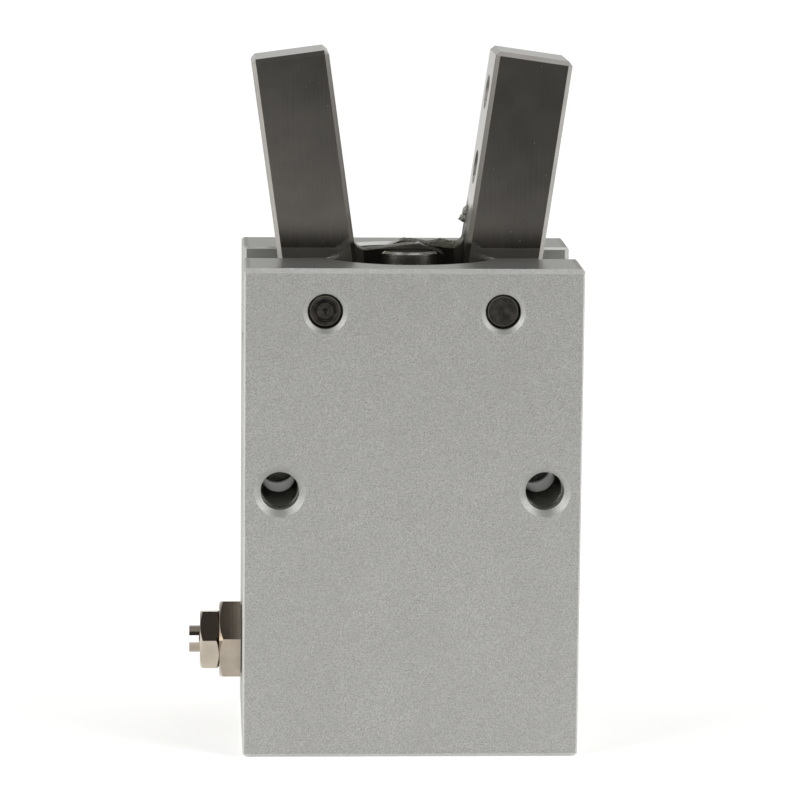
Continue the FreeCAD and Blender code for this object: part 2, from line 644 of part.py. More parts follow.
def piston():
    """Piston with grooves for seal and magnet, rod seat above and nut recess below."""
    edge = PISTON_EDGE_CHAMFER
    seal_half = PISTON_SEAL_WIDTH / 2 + GROOVE_SLACK
    magnet_half = MAGNET_WIDTH / 2 + GROOVE_SLACK
    seal_floor = PISTON_RADIUS - PISTON_SEAL_DEPTH
    magnet_floor = PISTON_RADIUS - MAGNET_DEPTH
    outline = [
        (ROD_PISTON_SPIGOT_DIAMETER / 2, NUT_SEAT),
        (NUT_RECESS_DIAMETER / 2, NUT_SEAT),
        (NUT_RECESS_DIAMETER / 2, PISTON_BOTTOM),
        (PISTON_RADIUS - edge, PISTON_BOTTOM),
        (PISTON_RADIUS, PISTON_BOTTOM + edge),
        (PISTON_RADIUS, MAGNET_Z - magnet_half),
        (magnet_floor, MAGNET_Z - magnet_half),
        (magnet_floor, MAGNET_Z + magnet_half),
        (PISTON_RADIUS, MAGNET_Z + magnet_half),
        (PISTON_RADIUS, PISTON_SEAL_Z - seal_half),
        (seal_floor, PISTON_SEAL_Z - seal_half),
        (seal_floor, PISTON_SEAL_Z + seal_half),
        (PISTON_RADIUS, PISTON_SEAL_Z + seal_half),
        (PISTON_RADIUS, PISTON_TOP - edge),
        (PISTON_RADIUS - edge, PISTON_TOP),
        (ROD_DIAMETER / 2, PISTON_TOP),
        (ROD_DIAMETER / 2, ROD_SHOULDER),
        (ROD_PISTON_SPIGOT_DIAMETER / 2, ROD_SHOULDER),
    ]
    return turned_z(outline)


def piston_nut():
    """Hexagon nut that clamps the piston against the rod's shoulder."""
    bottom = NUT_SEAT - NUT_THICKNESS
    face = profile_face([point(x, y, bottom) for x, y in hexagon(NUT_ACROSS_FLATS)])
    nut = face.extrude(point(0, 0, NUT_THICKNESS))
    return nut.cut(rod_z(ROD_PISTON_SPIGOT_DIAMETER, bottom - RUN_OUT, NUT_SEAT + RUN_OUT))


def piston_seal():
    """Ring with a lip at each side, so that it seals in both directions."""
    half = PISTON_SEAL_WIDTH / 2
    floor = PISTON_RADIUS - PISTON_SEAL_DEPTH
    lip = CYLINDER_BORE / 2 - PISTON_SEAL_GAP
    heel = PISTON_RADIUS - PISTON_SEAL_DEPTH / 4
    outline = [
        (floor, PISTON_SEAL_Z - half),
        (heel, PISTON_SEAL_Z - half),
        (lip, PISTON_SEAL_Z - half / 2),
        (heel, PISTON_SEAL_Z),
        (lip, PISTON_SEAL_Z + half / 2),
        (heel, PISTON_SEAL_Z + half),
        (floor, PISTON_SEAL_Z + half),
    ]
    return turned_z(outline)


def magnet_ring():
    outer = 2 * (PISTON_RADIUS - MAGNET_GAP)
    inner = 2 * (PISTON_RADIUS - MAGNET_DEPTH)
    return tube_z(outer, inner, MAGNET_Z - MAGNET_WIDTH / 2, MAGNET_Z + MAGNET_WIDTH / 2)


def rod_bush():
    return tube_z(BUSH_DIAMETER, ROD_DIAMETER + 2 * ROD_BUSH_GAP, BORE_END, ROD_SEAL_BOTTOM)


def rod_seal():
    """Cup seal with its open side towards the pressure below."""
    inner = ROD_DIAMETER / 2 + ROD_SEAL_GAP
    outer = ROD_SEAL_DIAMETER / 2
    wall = (outer - inner) / 3
    top = ROD_SEAL_BOTTOM + ROD_SEAL_HEIGHT
    trough = ROD_SEAL_BOTTOM + ROD_SEAL_HEIGHT / 2
    outline = [
        (inner, ROD_SEAL_BOTTOM),
        (inner + wall, ROD_SEAL_BOTTOM),
        (inner + wall, trough),
        (outer - wall, trough),
        (outer - wall, ROD_SEAL_BOTTOM),
        (outer, ROD_SEAL_BOTTOM),
        (outer, top),
        (inner, top),
    ]
    return turned_z(outline)


def seal_retainer():
    inner = ROD_DIAMETER + 2 * ROD_PARTITION_GAP
    return tube_z(ROD_SEAL_DIAMETER, inner, RETAINER_BOTTOM, POCKET_FLOOR)


def front_bumper():
    inner = ROD_DIAMETER + 2 * FRONT_BUMPER_ROD_GAP
    return tube_z(FRONT_BUMPER_DIAMETER, inner, BORE_END - FRONT_BUMPER_THICKNESS, BORE_END)


def rear_bumper():
    """Soft disc on the cap, dished under the piston's nut."""
    disc = rod_z(REAR_BUMPER_DIAMETER, CAP_TOP, REAR_BUMPER_TOP)
    dish_floor = REAR_BUMPER_TOP - REAR_BUMPER_RECESS_DEPTH
    return disc.cut(rod_z(REAR_BUMPER_RECESS_DIAMETER, dish_floor, REAR_BUMPER_TOP + RUN_OUT))


def rear_cap():
    """Disc with a ring groove at its rim, broken edges and a shallow dish outside."""
    radius = LOCATING_BORE / 2 - CAP_GAP
    ring_floor = LOCATING_BORE / 2 - CAP_RING_SECTION
    middle = (CAP_BOTTOM + CAP_TOP) / 2
    ring_half = CAP_RING_SECTION / 2 + GROOVE_SLACK
    edge = CAP_EDGE_CHAMFER
    outline = [
        (0, CAP_BOTTOM + CAP_DISH_DEPTH),
        (CAP_DISH_DIAMETER / 2, CAP_BOTTOM + CAP_DISH_DEPTH),
        (CAP_DISH_DIAMETER / 2 + CAP_DISH_DEPTH, CAP_BOTTOM),
        (radius, CAP_BOTTOM),
        (radius, middle - ring_half),
        (ring_floor, middle - ring_half),
        (ring_floor, middle + ring_half),
        (radius, middle + ring_half),
        (radius, CAP_TOP - edge),
        (radius - edge, CAP_TOP),
        (0, CAP_TOP),
    ]
    return turned_z(outline)


def cap_o_ring():
    section = CAP_RING_SECTION / 2 - CAP_RING_SQUEEZE_GAP
    middle = LOCATING_BORE / 2 - CAP_RING_SECTION / 2
    return Part.makeTorus(middle, section, point(0, 0, (CAP_BOTTOM + CAP_TOP) / 2))


def cap_clip():
    """Spring clip in its groove: an open ring with an eye at each end."""
    outer = LOCATING_BORE + 2 * CLIP_GROOVE_DEPTH
    ring = tube_z(outer, outer - 2 * CLIP_BAND, CLIP_BOTTOM, CAP_BOTTOM)
    half_angle = math.radians(CLIP_GAP_HALF_ANGLE)
    reach = LOCATING_BORE
    wedge = profile_face([
        point(0, 0, CLIP_BOTTOM),
        point(reach * math.sin(half_angle), reach * math.cos(half_angle), CLIP_BOTTOM),
        point(-reach * math.sin(half_angle), reach * math.cos(half_angle), CLIP_BOTTOM),
    ]).extrude(point(0, 0, CLIP_THICKNESS))
    clip = ring.cut(wedge)
    eye_circle = outer / 2 - CLIP_BAND
    for side in (-1, 1):
        x = side * eye_circle * math.sin(half_angle)
        y = eye_circle * math.cos(half_angle)
        clip = clip.fuse(rod_z(2 * CLIP_LUG_RADIUS, CLIP_BOTTOM, CAP_BOTTOM, x, y))
        clip = clip.cut(rod_z(CLIP_LUG_HOLE, CLIP_BOTTOM - RUN_OUT, CAP_BOTTOM + RUN_OUT, x, y))
    return clip.removeSplitter()


def needle_bushing():
    """Hexagon bushing screwed into the side, bored for the needle's stem and collar."""
    head = hex_bar_x(BUSHING_ACROSS_FLATS, BUSHING_FACE, BUSHING_SEAT, NEEDLE_HEIGHT, BUSHING_TURN, False)
    shank = rod_x(NEEDLE_BORE, BUSHING_SEAT, BUSHING_INNER_END, NEEDLE_HEIGHT)
    stem_bore = NEEDLE_STEM_DIAMETER + 2 * NEEDLE_STEM_GAP
    stem_way = rod_x(stem_bore, BUSHING_FACE - RUN_OUT, BUSHING_INNER_END, NEEDLE_HEIGHT)
    collar_way = rod_x(NEEDLE_COLLAR_BORE, BUSHING_COLLAR_STEP, BUSHING_INNER_END + RUN_OUT, NEEDLE_HEIGHT)
    return head.fuse(shank).cut([stem_way, collar_way])


def bushing_gasket():
    ring = rod_x(GASKET_DIAMETER, BUSHING_SEAT, LEFT, NEEDLE_HEIGHT)
    return ring.cut(rod_x(NEEDLE_BORE, BUSHING_SEAT - RUN_OUT, LEFT + RUN_OUT, NEEDLE_HEIGHT))


def needle_locknut():
    nut = hex_bar_x(LOCKNUT_ACROSS_FLATS, LOCKNUT_FACE, BUSHING_FACE, NEEDLE_HEIGHT, LOCKNUT_TURN, True)
    bore = NEEDLE_STEM_DIAMETER + 2 * NEEDLE_STEM_GAP
    return nut.cut(rod_x(bore, LOCKNUT_FACE - RUN_OUT, BUSHING_FACE + RUN_OUT, NEEDLE_HEIGHT))


def needle_ring_seat():
    """Middle of the needle's ring groove along X, half its width, and the radius of its floor."""
    collar_start = BUSHING_COLLAR_STEP + NEEDLE_COLLAR_END_GAP
    half_width = NEEDLE_RING_SECTION / 2 + NEEDLE_RING_SEAT_GAP
    middle = collar_start + NEEDLE_RING_WALL + half_width
    floor = NEEDLE_COLLAR_DIAMETER / 2 - NEEDLE_RING_SECTION
    return middle, half_width, floor


def needle():
    """Slotted screw with a collar, a ring groove and a conical tip in the orifice."""
    ring_middle, ring_half, ring_floor = needle_ring_seat()
    stem = NEEDLE_STEM_DIAMETER / 2
    collar = NEEDLE_COLLAR_DIAMETER / 2
    collar_start = BUSHING_COLLAR_STEP + NEEDLE_COLLAR_END_GAP
    collar_end = ring_middle + ring_half + NEEDLE_RING_WALL
    cone_start = NEEDLE_TIP - NEEDLE_CONE_LENGTH
    outline = [
        (0, NEEDLE_FACE),
        (stem, NEEDLE_FACE),
        (stem, collar_start),
        (collar, collar_start),
        (collar, ring_middle - ring_half),
        (ring_floor, ring_middle - ring_half),
        (ring_floor, ring_middle + ring_half),
        (collar, ring_middle + ring_half),
        (collar, collar_end),
        (ring_floor, collar_end),
        (ring_floor, cone_start),
        (NEEDLE_TIP_DIAMETER / 2, NEEDLE_TIP),
        (0, NEEDLE_TIP),
    ]
    slot = Part.makeBox(NEEDLE_SLOT_DEPTH + RUN_OUT, 4 * stem, NEEDLE_SLOT_WIDTH,
                        point(NEEDLE_FACE - RUN_OUT, -2 * stem, NEEDLE_HEIGHT - NEEDLE_SLOT_WIDTH / 2))
    slot.rotate(point(0, 0, NEEDLE_HEIGHT), point(-1, 0, 0), NEEDLE_SLOT_TURN)
    return turned_x(outline, NEEDLE_HEIGHT).cut(slot)


def needle_o_ring():
    middle, half_width, floor = needle_ring_seat()
    section = half_width - NEEDLE_RING_SEAT_GAP
    circle = floor + section + NEEDLE_RING_SEAT_GAP
    return Part.makeTorus(circle, section, point(middle, 0, NEEDLE_HEIGHT), point(1, 0, 0))


PIECES = {
    "body": body(),
    "left_finger": left_finger(),
    "right_finger": right_finger(),
    "left_pivot_pin": pivot_pin(-ARM, -1),
    "right_pivot_pin": pivot_pin(ARM, 1),
    "rod_joint": rod_joint(),
    "centre_pin": centre_pin(),
    "piston_rod": piston_rod(),
    "piston": piston(),
    "piston_nut": piston_nut(),
    "piston_seal": piston_seal(),
    "magnet_ring": magnet_ring(),
    "rod_bush": rod_bush(),
    "rod_seal": rod_seal(),
    "seal_retainer": seal_retainer(),
    "front_bumper": front_bumper(),
    "rear_bumper": rear_bumper(),
    "rear_cap": rear_cap(),
    "cap_o_ring": cap_o_ring(),
    "cap_clip": cap_clip(),
    "needle_bushing": needle_bushing(),
    "bushing_gasket": bushing_gasket(),
    "needle_locknut": needle_locknut(),
    "needle": needle(),
    "needle_o_ring": needle_o_ring(),
}

os.makedirs("parts", exist_ok=True)
for name, shape in PIECES.items():
    shape.exportStep(os.path.join("parts", name + ".step"))
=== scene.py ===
import math

import bmesh
import bpy
from mathutils import Matrix, Vector, noise


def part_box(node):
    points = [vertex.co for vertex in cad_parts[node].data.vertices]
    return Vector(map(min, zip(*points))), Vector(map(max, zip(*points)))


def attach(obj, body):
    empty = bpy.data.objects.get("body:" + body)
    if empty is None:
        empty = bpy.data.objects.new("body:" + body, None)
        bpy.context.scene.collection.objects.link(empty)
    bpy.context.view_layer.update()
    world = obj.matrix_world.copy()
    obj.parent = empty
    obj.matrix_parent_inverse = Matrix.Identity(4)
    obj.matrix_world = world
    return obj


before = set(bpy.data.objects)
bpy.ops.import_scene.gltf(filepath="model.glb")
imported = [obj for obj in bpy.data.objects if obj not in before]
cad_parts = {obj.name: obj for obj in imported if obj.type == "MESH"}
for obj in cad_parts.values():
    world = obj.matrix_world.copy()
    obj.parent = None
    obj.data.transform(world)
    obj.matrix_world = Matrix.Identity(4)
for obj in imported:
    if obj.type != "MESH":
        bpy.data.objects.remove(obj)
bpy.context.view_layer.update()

bpy.context.scene.view_settings.view_transform = "Standard"

# Body: one block of aluminium bar, milled, drilled and tapped on all six sides.
# It is blasted with glass beads and clear anodised outside, while the milled top and the bores
# keep the smoother mark of the cutter. Every other piece is fixed in it or runs in it.


def linear(hex_colour):
    """Linear colour for a shader, from an sRGB hex value."""
    channels = []
    for start in (1, 3, 5):
        value = int(hex_colour[start:start + 2], 16) / 255
        channels.append(value / 12.92 if value <= 0.04045 else ((value + 0.055) / 1.055) ** 2.4)
    return (channels[0], channels[1], channels[2], 1.0)


def add(tree, kind, inputs=None, **settings):
    """Adds a node and gives its outputs; an input is a fixed value or the output that feeds it."""
    node = tree.nodes.new(kind)
    for name, value in settings.items():
        setattr(node, name, value)
    for socket, value in (inputs or {}).items():
        if isinstance(value, bpy.types.NodeSocket):
            tree.links.new(value, node.inputs[socket])
        else:
            node.inputs[socket].default_value = value
    return node.outputs


def new_finish(name):
    """Empty material and its node tree."""
    material = bpy.data.materials.new(name)
    material.use_nodes = True
    material.node_tree.nodes.clear()
    return material, material.node_tree


def per_metre(size_mm):
    """Texture scale that repeats a pattern once in each length given in millimetres."""
    return 1000.0 / size_mm


def coat(material, *node_names):
    """Gives CAD nodes their finish."""
    for name in node_names:
        for material_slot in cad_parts[name].material_slots:
            material_slot.material = material


# Beads leave close small craters, which scatter the light into an even silvery grey with a fine
# sparkle. Handling rubs the outer edges pale, and the countersinks are smooth. The milled faces
# mirror softly along the cutter's path. They are painted darker round the pocket, and the edges
# on top of the back wall carry a painted highlight. The craters are drawn wider than real ones of
# 0.05 mm, or they would not show.
BEAD_CRATER = 0.13
CRATER_DEPTH = 0.1
CLOUDING = 7.0
MILL_LINE = 0.14
MILL_LINE_LENGTH = 5.0
BLASTED_DEPTH = 0.6
SLOT_HALF = 4.6
SLOT_FLOOR = 36.8
POCKET_DARK_RADIUS = 8.55
POCKET_DARK_SHIFT = 0.35
SQUARE_FROM = 0.9
SKYWARD_FROM = 0.5
SMOOTH_RELIEF = 0.06
EDGE_WEAR = 0.45
COUNTERSINK_WEAR = 0.25
BLASTED_ROUGHNESS = 0.6
MILLED_ROUGHNESS = 0.35
SHINING_ROUGHNESS = 0.14
MILLED_METALLIC = 0.85
body_low, body_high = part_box("body")

aluminium, tree = new_finish("clear_anodised_aluminium_bead_blasted")
place = add(tree, "ShaderNodeTexCoord")["Object"]
axes = add(tree, "ShaderNodeSeparateXYZ", {"Vector": place})
beside = add(tree, "ShaderNodeMath", {0: axes["X"]}, operation="ABSOLUTE")[0]
ahead = add(tree, "ShaderNodeMath", {0: axes["Y"]}, operation="ABSOLUTE")[0]

# The skin of the four walls and the base is blasted, but not the open ends of the finger slot.
skin = BLASTED_DEPTH / 1000
on_side = add(tree, "ShaderNodeMath", {0: beside, 1: body_high.x - skin}, operation="GREATER_THAN")[0]
on_face = add(tree, "ShaderNodeMath", {0: ahead, 1: body_high.y - skin}, operation="GREATER_THAN")[0]
on_base = add(tree, "ShaderNodeMath", {0: axes["Z"], 1: skin}, operation="LESS_THAN")[0]
beyond_slot = add(tree, "ShaderNodeMath", {0: ahead, 1: SLOT_HALF / 1000}, operation="GREATER_THAN")[0]
under_slot = add(tree, "ShaderNodeMath", {0: axes["Z"], 1: SLOT_FLOOR / 1000}, operation="LESS_THAN")[0]
no_slot = add(tree, "ShaderNodeMath", {0: beyond_slot, 1: under_slot}, operation="MAXIMUM")[0]
on_flank = add(tree, "ShaderNodeMath", {0: on_side, 1: no_slot}, operation="MULTIPLY")[0]
outside = add(tree, "ShaderNodeMath", {0: on_flank, 1: on_face}, operation="MAXIMUM")[0]
blasted = add(tree, "ShaderNodeMath", {0: outside, 1: on_base}, operation="MAXIMUM")[0]

# A face that is square to no axis is an edge. Away from the sides and the top it is a countersink
# or a lower edge, which is as smooth.
normal = add(tree, "ShaderNodeNewGeometry")["True Normal"]
square = add(tree, "ShaderNodeVectorMath", {0: normal}, operation="ABSOLUTE")["Vector"]
facing = add(tree, "ShaderNodeSeparateXYZ", {"Vector": square})
level = add(tree, "ShaderNodeMath", {0: facing["X"], 1: facing["Y"]}, operation="MAXIMUM")[0]
squarest = add(tree, "ShaderNodeMath", {0: level, 1: facing["Z"]}, operation="MAXIMUM")[0]
edge = add(tree, "ShaderNodeMath", {0: squarest, 1: SQUARE_FROM}, operation="LESS_THAN")[0]
at_top = add(tree, "ShaderNodeMath", {0: axes["Z"], 1: body_high.z - skin}, operation="GREATER_THAN")[0]
outermost = add(tree, "ShaderNodeMath", {0: on_side, 1: at_top}, operation="MAXIMUM")[0]
sunk = add(tree, "ShaderNodeMath", {0: edge, 1: outermost}, operation="SUBTRACT", use_clamp=True)[0]
# The edges on top of the back wall are painted pale, a painted highlight, and made smoother.
at_back = add(tree, "ShaderNodeMath", {0: axes["Y"], 1: 0.0}, operation="GREATER_THAN")[0]
back_edge = add(tree, "ShaderNodeMath", {0: edge, 1: at_back}, operation="MULTIPLY")[0]
skyward = add(tree, "ShaderNodeMath", {0: facing["Z"], 1: SKYWARD_FROM}, operation="GREATER_THAN")[0]
top_edge = add(tree, "ShaderNodeMath", {0: skyward, 1: at_top}, operation="MULTIPLY")[0]
painted_highlight_edge = add(tree, "ShaderNodeMath", {0: back_edge, 1: top_edge}, operation="MULTIPLY")[0]

craters = add(tree, "ShaderNodeTexNoise", {"Vector": place, "Scale": per_metre(BEAD_CRATER), "Detail": 1.0,
                                           "Roughness": 0.7})["Fac"]
stretched = add(tree, "ShaderNodeMapping", {"Vector": place,
                                            "Scale": (MILL_LINE / MILL_LINE_LENGTH, 1.0, 1.0)})["Vector"]
mill_lines = add(tree, "ShaderNodeTexNoise", {"Vector": stretched, "Scale": per_metre(MILL_LINE),
                                              "Detail": 1.0})["Fac"]
grain = add(tree, "ShaderNodeMix", {"Factor": blasted, "A": mill_lines, "B": craters},
            data_type="FLOAT")["Result"]

shade = add(tree, "ShaderNodeMapRange", {"Value": grain, "From Min": 0.3, "From Max": 0.7})["Result"]
frosted = add(tree, "ShaderNodeMix", {"Factor": shade, "A": linear("#A5A5A2"), "B": linear("#C6C6C4")},
              data_type="RGBA")["Result"]
wear = add(tree, "ShaderNodeMapRange", {"Value": sunk, "To Min": EDGE_WEAR,
                                        "To Max": COUNTERSINK_WEAR})["Result"]
rubbed = add(tree, "ShaderNodeMath", {0: edge, 1: wear}, operation="MULTIPLY")[0]
matt = add(tree, "ShaderNodeMix", {"Factor": rubbed, "A": frosted, "B": linear("#EDEDEB")},
           data_type="RGBA")["Result"]
# Round the pocket, shifted a little to the front, the milled faces are painted darker.
level_place = add(tree, "ShaderNodeCombineXYZ", {"X": axes["X"], "Y": axes["Y"]})["Vector"]
off_axis = add(tree, "ShaderNodeVectorMath", {0: level_place, 1: (0, -POCKET_DARK_SHIFT / 1000, 0)},
               operation="DISTANCE")["Value"]
darker_round_pocket = add(tree, "ShaderNodeMath", {0: off_axis, 1: POCKET_DARK_RADIUS / 1000},
             operation="LESS_THAN")[0]
milled = add(tree, "ShaderNodeMix", {"Factor": darker_round_pocket, "A": linear("#B4B5B2"), "B": linear("#6C6C67")},
             data_type="RGBA")["Result"]
# Painted highlight on the edges on top of the back wall.
cut = add(tree, "ShaderNodeMix", {"Factor": painted_highlight_edge, "A": milled, "B": linear("#DCDCD9")},
          data_type="RGBA")["Result"]
tone = add(tree, "ShaderNodeMix", {"Factor": blasted, "A": cut, "B": matt}, data_type="RGBA")["Result"]
clouds = add(tree, "ShaderNodeTexNoise", {"Vector": place, "Scale": per_metre(CLOUDING),
                                          "Detail": 3.0})["Fac"]
cloudy = add(tree, "ShaderNodeMapRange", {"Value": clouds, "From Min": 0.35, "From Max": 0.65,
                                          "To Max": 0.16})["Result"]
tint = add(tree, "ShaderNodeMix", {"Factor": cloudy, "A": tone, "B": linear("#A6A6A1")},
           data_type="RGBA")["Result"]

gloss = add(tree, "ShaderNodeMapRange", {"Value": painted_highlight_edge, "To Min": MILLED_ROUGHNESS,
                                         "To Max": SHINING_ROUGHNESS})["Result"]
satin = add(tree, "ShaderNodeMapRange", {"Value": blasted, "To Min": gloss,
                                         "To Max": BLASTED_ROUGHNESS})["Result"]
veil = add(tree, "ShaderNodeMapRange", {"Value": blasted, "To Min": MILLED_METALLIC,
                                        "To Max": 1.0})["Result"]
cratered = add(tree, "ShaderNodeMath", {0: blasted, 1: sunk}, operation="SUBTRACT", use_clamp=True)[0]
relief = add(tree, "ShaderNodeMapRange", {"Value": cratered, "To Min": SMOOTH_RELIEF,
                                          "To Max": 1.0})["Result"]
bumps = add(tree, "ShaderNodeBump", {"Strength": relief, "Distance": CRATER_DEPTH / 1000,
                                     "Height": grain})["Normal"]
surface = add(tree, "ShaderNodeBsdfPrincipled", {"Base Color": tint, "Metallic": veil, "Roughness": satin,
                                                 "Normal": bumps})["BSDF"]
add(tree, "ShaderNodeOutputMaterial", {"Surface": surface})
coat(aluminium, "body")

# Threads in the body: cut with taps into the cross holes from both faces, into the two air ports
# on the left side and into the two mounting holes in the bottom face. They are the body's own
# aluminium, anodised with it.
SIDE_HOLE = 1.75
SIDE_HOLE_X = 12.0
SIDE_HOLE_Z = 24.6
SIDE_PITCH = 0.7
SIDE_RIDGE = 0.12
SIDE_THREAD_START = 1.2
SIDE_THREAD_LENGTH = 8.0
PORT_HOLE = 2.1
PORT_HEIGHTS = (29.5355, 18.0)
PORT_PITCH = 0.8
PORT_RIDGE = 0.18
PORT_THREAD_LENGTH = 4.6
REAR_HOLE = 1.65
REAR_HOLE_X = 12.0
REAR_PITCH = 0.7
REAR_RIDGE = 0.16
REAR_THREAD_LENGTH = 4.3
COUNTERSINK = 0.5
THREAD_STEPS = 28
RIDGE_ROOT = 0.03
RIDGE_HALF_SHARE = 0.46
CREST_HALF_SHARE = 0.07
SHOULDER_SHARE = 0.9


def smooth_piece(name, mesh):
    """Object with smooth shading, from a finished mesh."""
    data = bpy.data.meshes.new(name)
    mesh.to_mesh(data)
    mesh.free()
    data.shade_smooth()
    piece = bpy.data.objects.new(name, data)
    bpy.context.scene.collection.objects.link(piece)
    return piece


def thread_ridge(name, mouth, inwards, wall, pitch, length, height):
    """Ridge that winds inwards along a hole's wall, fading out at both ends. Millimetres."""
    inwards = Vector(inwards)
    across = inwards.orthogonal().normalized()
    up = inwards.cross(across)
    turns = length / pitch
    count = int(turns * THREAD_STEPS)
    half = RIDGE_HALF_SHARE * pitch
    crest_half = CREST_HALF_SHARE * pitch
    mesh = bmesh.new()
    rows = []
    for step in range(count + 1):
        angle = 2 * math.pi * step / THREAD_STEPS
        depth = pitch * step / THREAD_STEPS
        run_in = min(1.0, step / THREAD_STEPS, (count - step) / THREAD_STEPS)
        spoke = across * math.cos(angle) + up * math.sin(angle)
        root = wall + RIDGE_ROOT
        shoulder = wall - SHOULDER_SHARE * height * run_in
        crest = wall - height * run_in
        section = ((root, -half), (shoulder, -crest_half), (crest, 0.0), (shoulder, crest_half), (root, half))
        row = []
        for radius, shift in section:
            spot = Vector(mouth) + inwards * (depth + half + shift) + spoke * radius
            row.append(mesh.verts.new(spot / 1000))
        rows.append(row)
    for before, after in zip(rows, rows[1:]):
        for corner in range(len(before)):
            following = (corner + 1) % len(before)
            mesh.faces.new((before[corner], before[following], after[following], after[corner]))
    mesh.faces.new(rows[0])
    mesh.faces.new(list(reversed(rows[-1])))
    bmesh.ops.recalc_face_normals(mesh, faces=mesh.faces)
    return smooth_piece(name, mesh)


# A tap tears the flanks a little, so a thread looks darker and rougher than a reamed bore.
TAP_TEAR = 0.25
TAP_TEAR_DEPTH = 0.03
tapped_aluminium, tree = new_finish("clear_anodised_aluminium_tapped")
place = add(tree, "ShaderNodeTexCoord")["Object"]
tears = add(tree, "ShaderNodeTexNoise", {"Vector": place, "Scale": per_metre(TAP_TEAR), "Detail": 2.0})["Fac"]
tint = add(tree, "ShaderNodeMix", {"Factor": tears, "A": linear("#8E8E88"), "B": linear("#B4B5AE")},
           data_type="RGBA")["Result"]
dull = add(tree, "ShaderNodeMapRange", {"Value": tears, "To Min": 0.3, "To Max": 0.5})["Result"]
bumps = add(tree, "ShaderNodeBump", {"Strength": 0.3, "Distance": TAP_TEAR_DEPTH / 1000,
                                     "Height": tears})["Normal"]
surface = add(tree, "ShaderNodeBsdfPrincipled", {"Base Color": tint, "Metallic": 1.0, "Roughness": dull,
                                                 "Normal": bumps})["BSDF"]
add(tree, "ShaderNodeOutputMaterial", {"Surface": surface})

half_depth = body_high.y * 1000 - SIDE_THREAD_START
left_face = body_low.x * 1000 + COUNTERSINK
body_threads = []
for side, x in (("left", -SIDE_HOLE_X), ("right", SIDE_HOLE_X)):
    for end, y, inwards in (("front", -half_depth, 1), ("back", half_depth, -1)):
        body_threads.append(thread_ridge(
            f"{side}_cross_hole_{end}_thread", (x, y, SIDE_HOLE_Z), (0, inwards, 0),
            SIDE_HOLE, SIDE_PITCH, SIDE_THREAD_LENGTH, SIDE_RIDGE))
    body_threads.append(thread_ridge(
        f"{side}_bottom_thread", (math.copysign(REAR_HOLE_X, x), 0, COUNTERSINK), (0, 0, 1),
        REAR_HOLE, REAR_PITCH, REAR_THREAD_LENGTH - COUNTERSINK, REAR_RIDGE))
for order, z in zip(("upper", "lower"), PORT_HEIGHTS):
    body_threads.append(thread_ridge(
        f"{order}_port_thread", (left_face, 0, z), (1, 0, 0),
        PORT_HOLE, PORT_PITCH, PORT_THREAD_LENGTH - COUNTERSINK, PORT_RIDGE))
for ridge in body_threads:
    ridge.data.materials.append(tapped_aluminium)
    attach(ridge, "housing")

# Pivot pins and centre pin: turned from tool steel, hardened and blackened in hot salts.
# The pivot pins are pressed into the body below its surface, the centre pin into the rod joint.

# Black oxide is thin and keeps the lathe's rings, so a pin's end is nearly black with a soft
# metallic shine. A thin paler ring near the edge of its end is a painted highlight.
# The rings are drawn wider than a real feed of 0.05 mm, or they would not show.
PIN_FEED = 0.16
PIN_STAIN = 0.6
PIN_RIM = 1.33
PIN_RIM_HALF = 0.035
PIN_PITCH_HALF = 8.0
PIN_HEIGHT = 41.0
TURNING_DEPTH = 0.02
# At a scale of one, Blender's wave texture repeats at each tenth of pi.
WAVE_LENGTH = math.pi / 10

black_steel, tree = new_finish("tool_steel_black_oxide")
place = add(tree, "ShaderNodeTexCoord")["Object"]
axes = add(tree, "ShaderNodeSeparateXYZ", {"Vector": place})
beside = add(tree, "ShaderNodeMath", {0: axes["X"]}, operation="ABSOLUTE")[0]
folded = add(tree, "ShaderNodeCombineXYZ", {"X": beside, "Y": axes["Y"], "Z": axes["Z"]})["Vector"]
centred = add(tree, "ShaderNodeMapping", {"Vector": folded,
                                          "Location": (-PIN_PITCH_HALF / 1000, 0, -PIN_HEIGHT / 1000),
                                          "Scale": (1, 0, 1)})["Vector"]
rings = add(tree, "ShaderNodeTexWave", {"Vector": centred, "Scale": per_metre(PIN_FEED) * WAVE_LENGTH,
                                        "Distortion": 0.6, "Detail": 1.0},
            wave_type="RINGS", rings_direction="Y")["Fac"]
stains = add(tree, "ShaderNodeTexNoise", {"Vector": place, "Scale": per_metre(PIN_STAIN),
                                          "Detail": 3.0})["Fac"]
patchy = add(tree, "ShaderNodeMapRange", {"Value": stains, "From Min": 0.35, "From Max": 0.7})["Result"]
black = add(tree, "ShaderNodeMix", {"Factor": patchy, "A": linear("#3B3936"), "B": linear("#575450")},
            data_type="RGBA")["Result"]
# A thin paler ring on the end faces is a painted highlight.
off_axis = add(tree, "ShaderNodeVectorMath", {0: centred}, operation="LENGTH")["Value"]
rim = add(tree, "ShaderNodeMath", {0: off_axis, 1: PIN_RIM / 1000, 2: PIN_RIM_HALF / 1000},
          operation="COMPARE")[0]
tint = add(tree, "ShaderNodeMix", {"Factor": rim, "A": black, "B": linear("#7C7871")},
           data_type="RGBA")["Result"]
dull = add(tree, "ShaderNodeMapRange", {"Value": stains, "To Min": 0.22, "To Max": 0.42})["Result"]
bumps = add(tree, "ShaderNodeBump", {"Strength": 0.12, "Distance": TURNING_DEPTH / 1000,
                                     "Height": rings})["Normal"]
surface = add(tree, "ShaderNodeBsdfPrincipled", {"Base Color": tint, "Metallic": 0.85, "Roughness": dull,
                                                 "Normal": bumps})["BSDF"]
add(tree, "ShaderNodeOutputMaterial", {"Surface": surface})
coat(black_steel, "left_pivot_pin", "right_pivot_pin", "centre_pin")

# Rod joint and piston rod: turned stainless steel. The joint is slotted for the finger tails and
# pressed on the rod's upper spigot, and the rod is ground where it seals.
STAIN = 1.8
STAIN_SHINIER = 0.06
STAIN_DULLER = 0.08


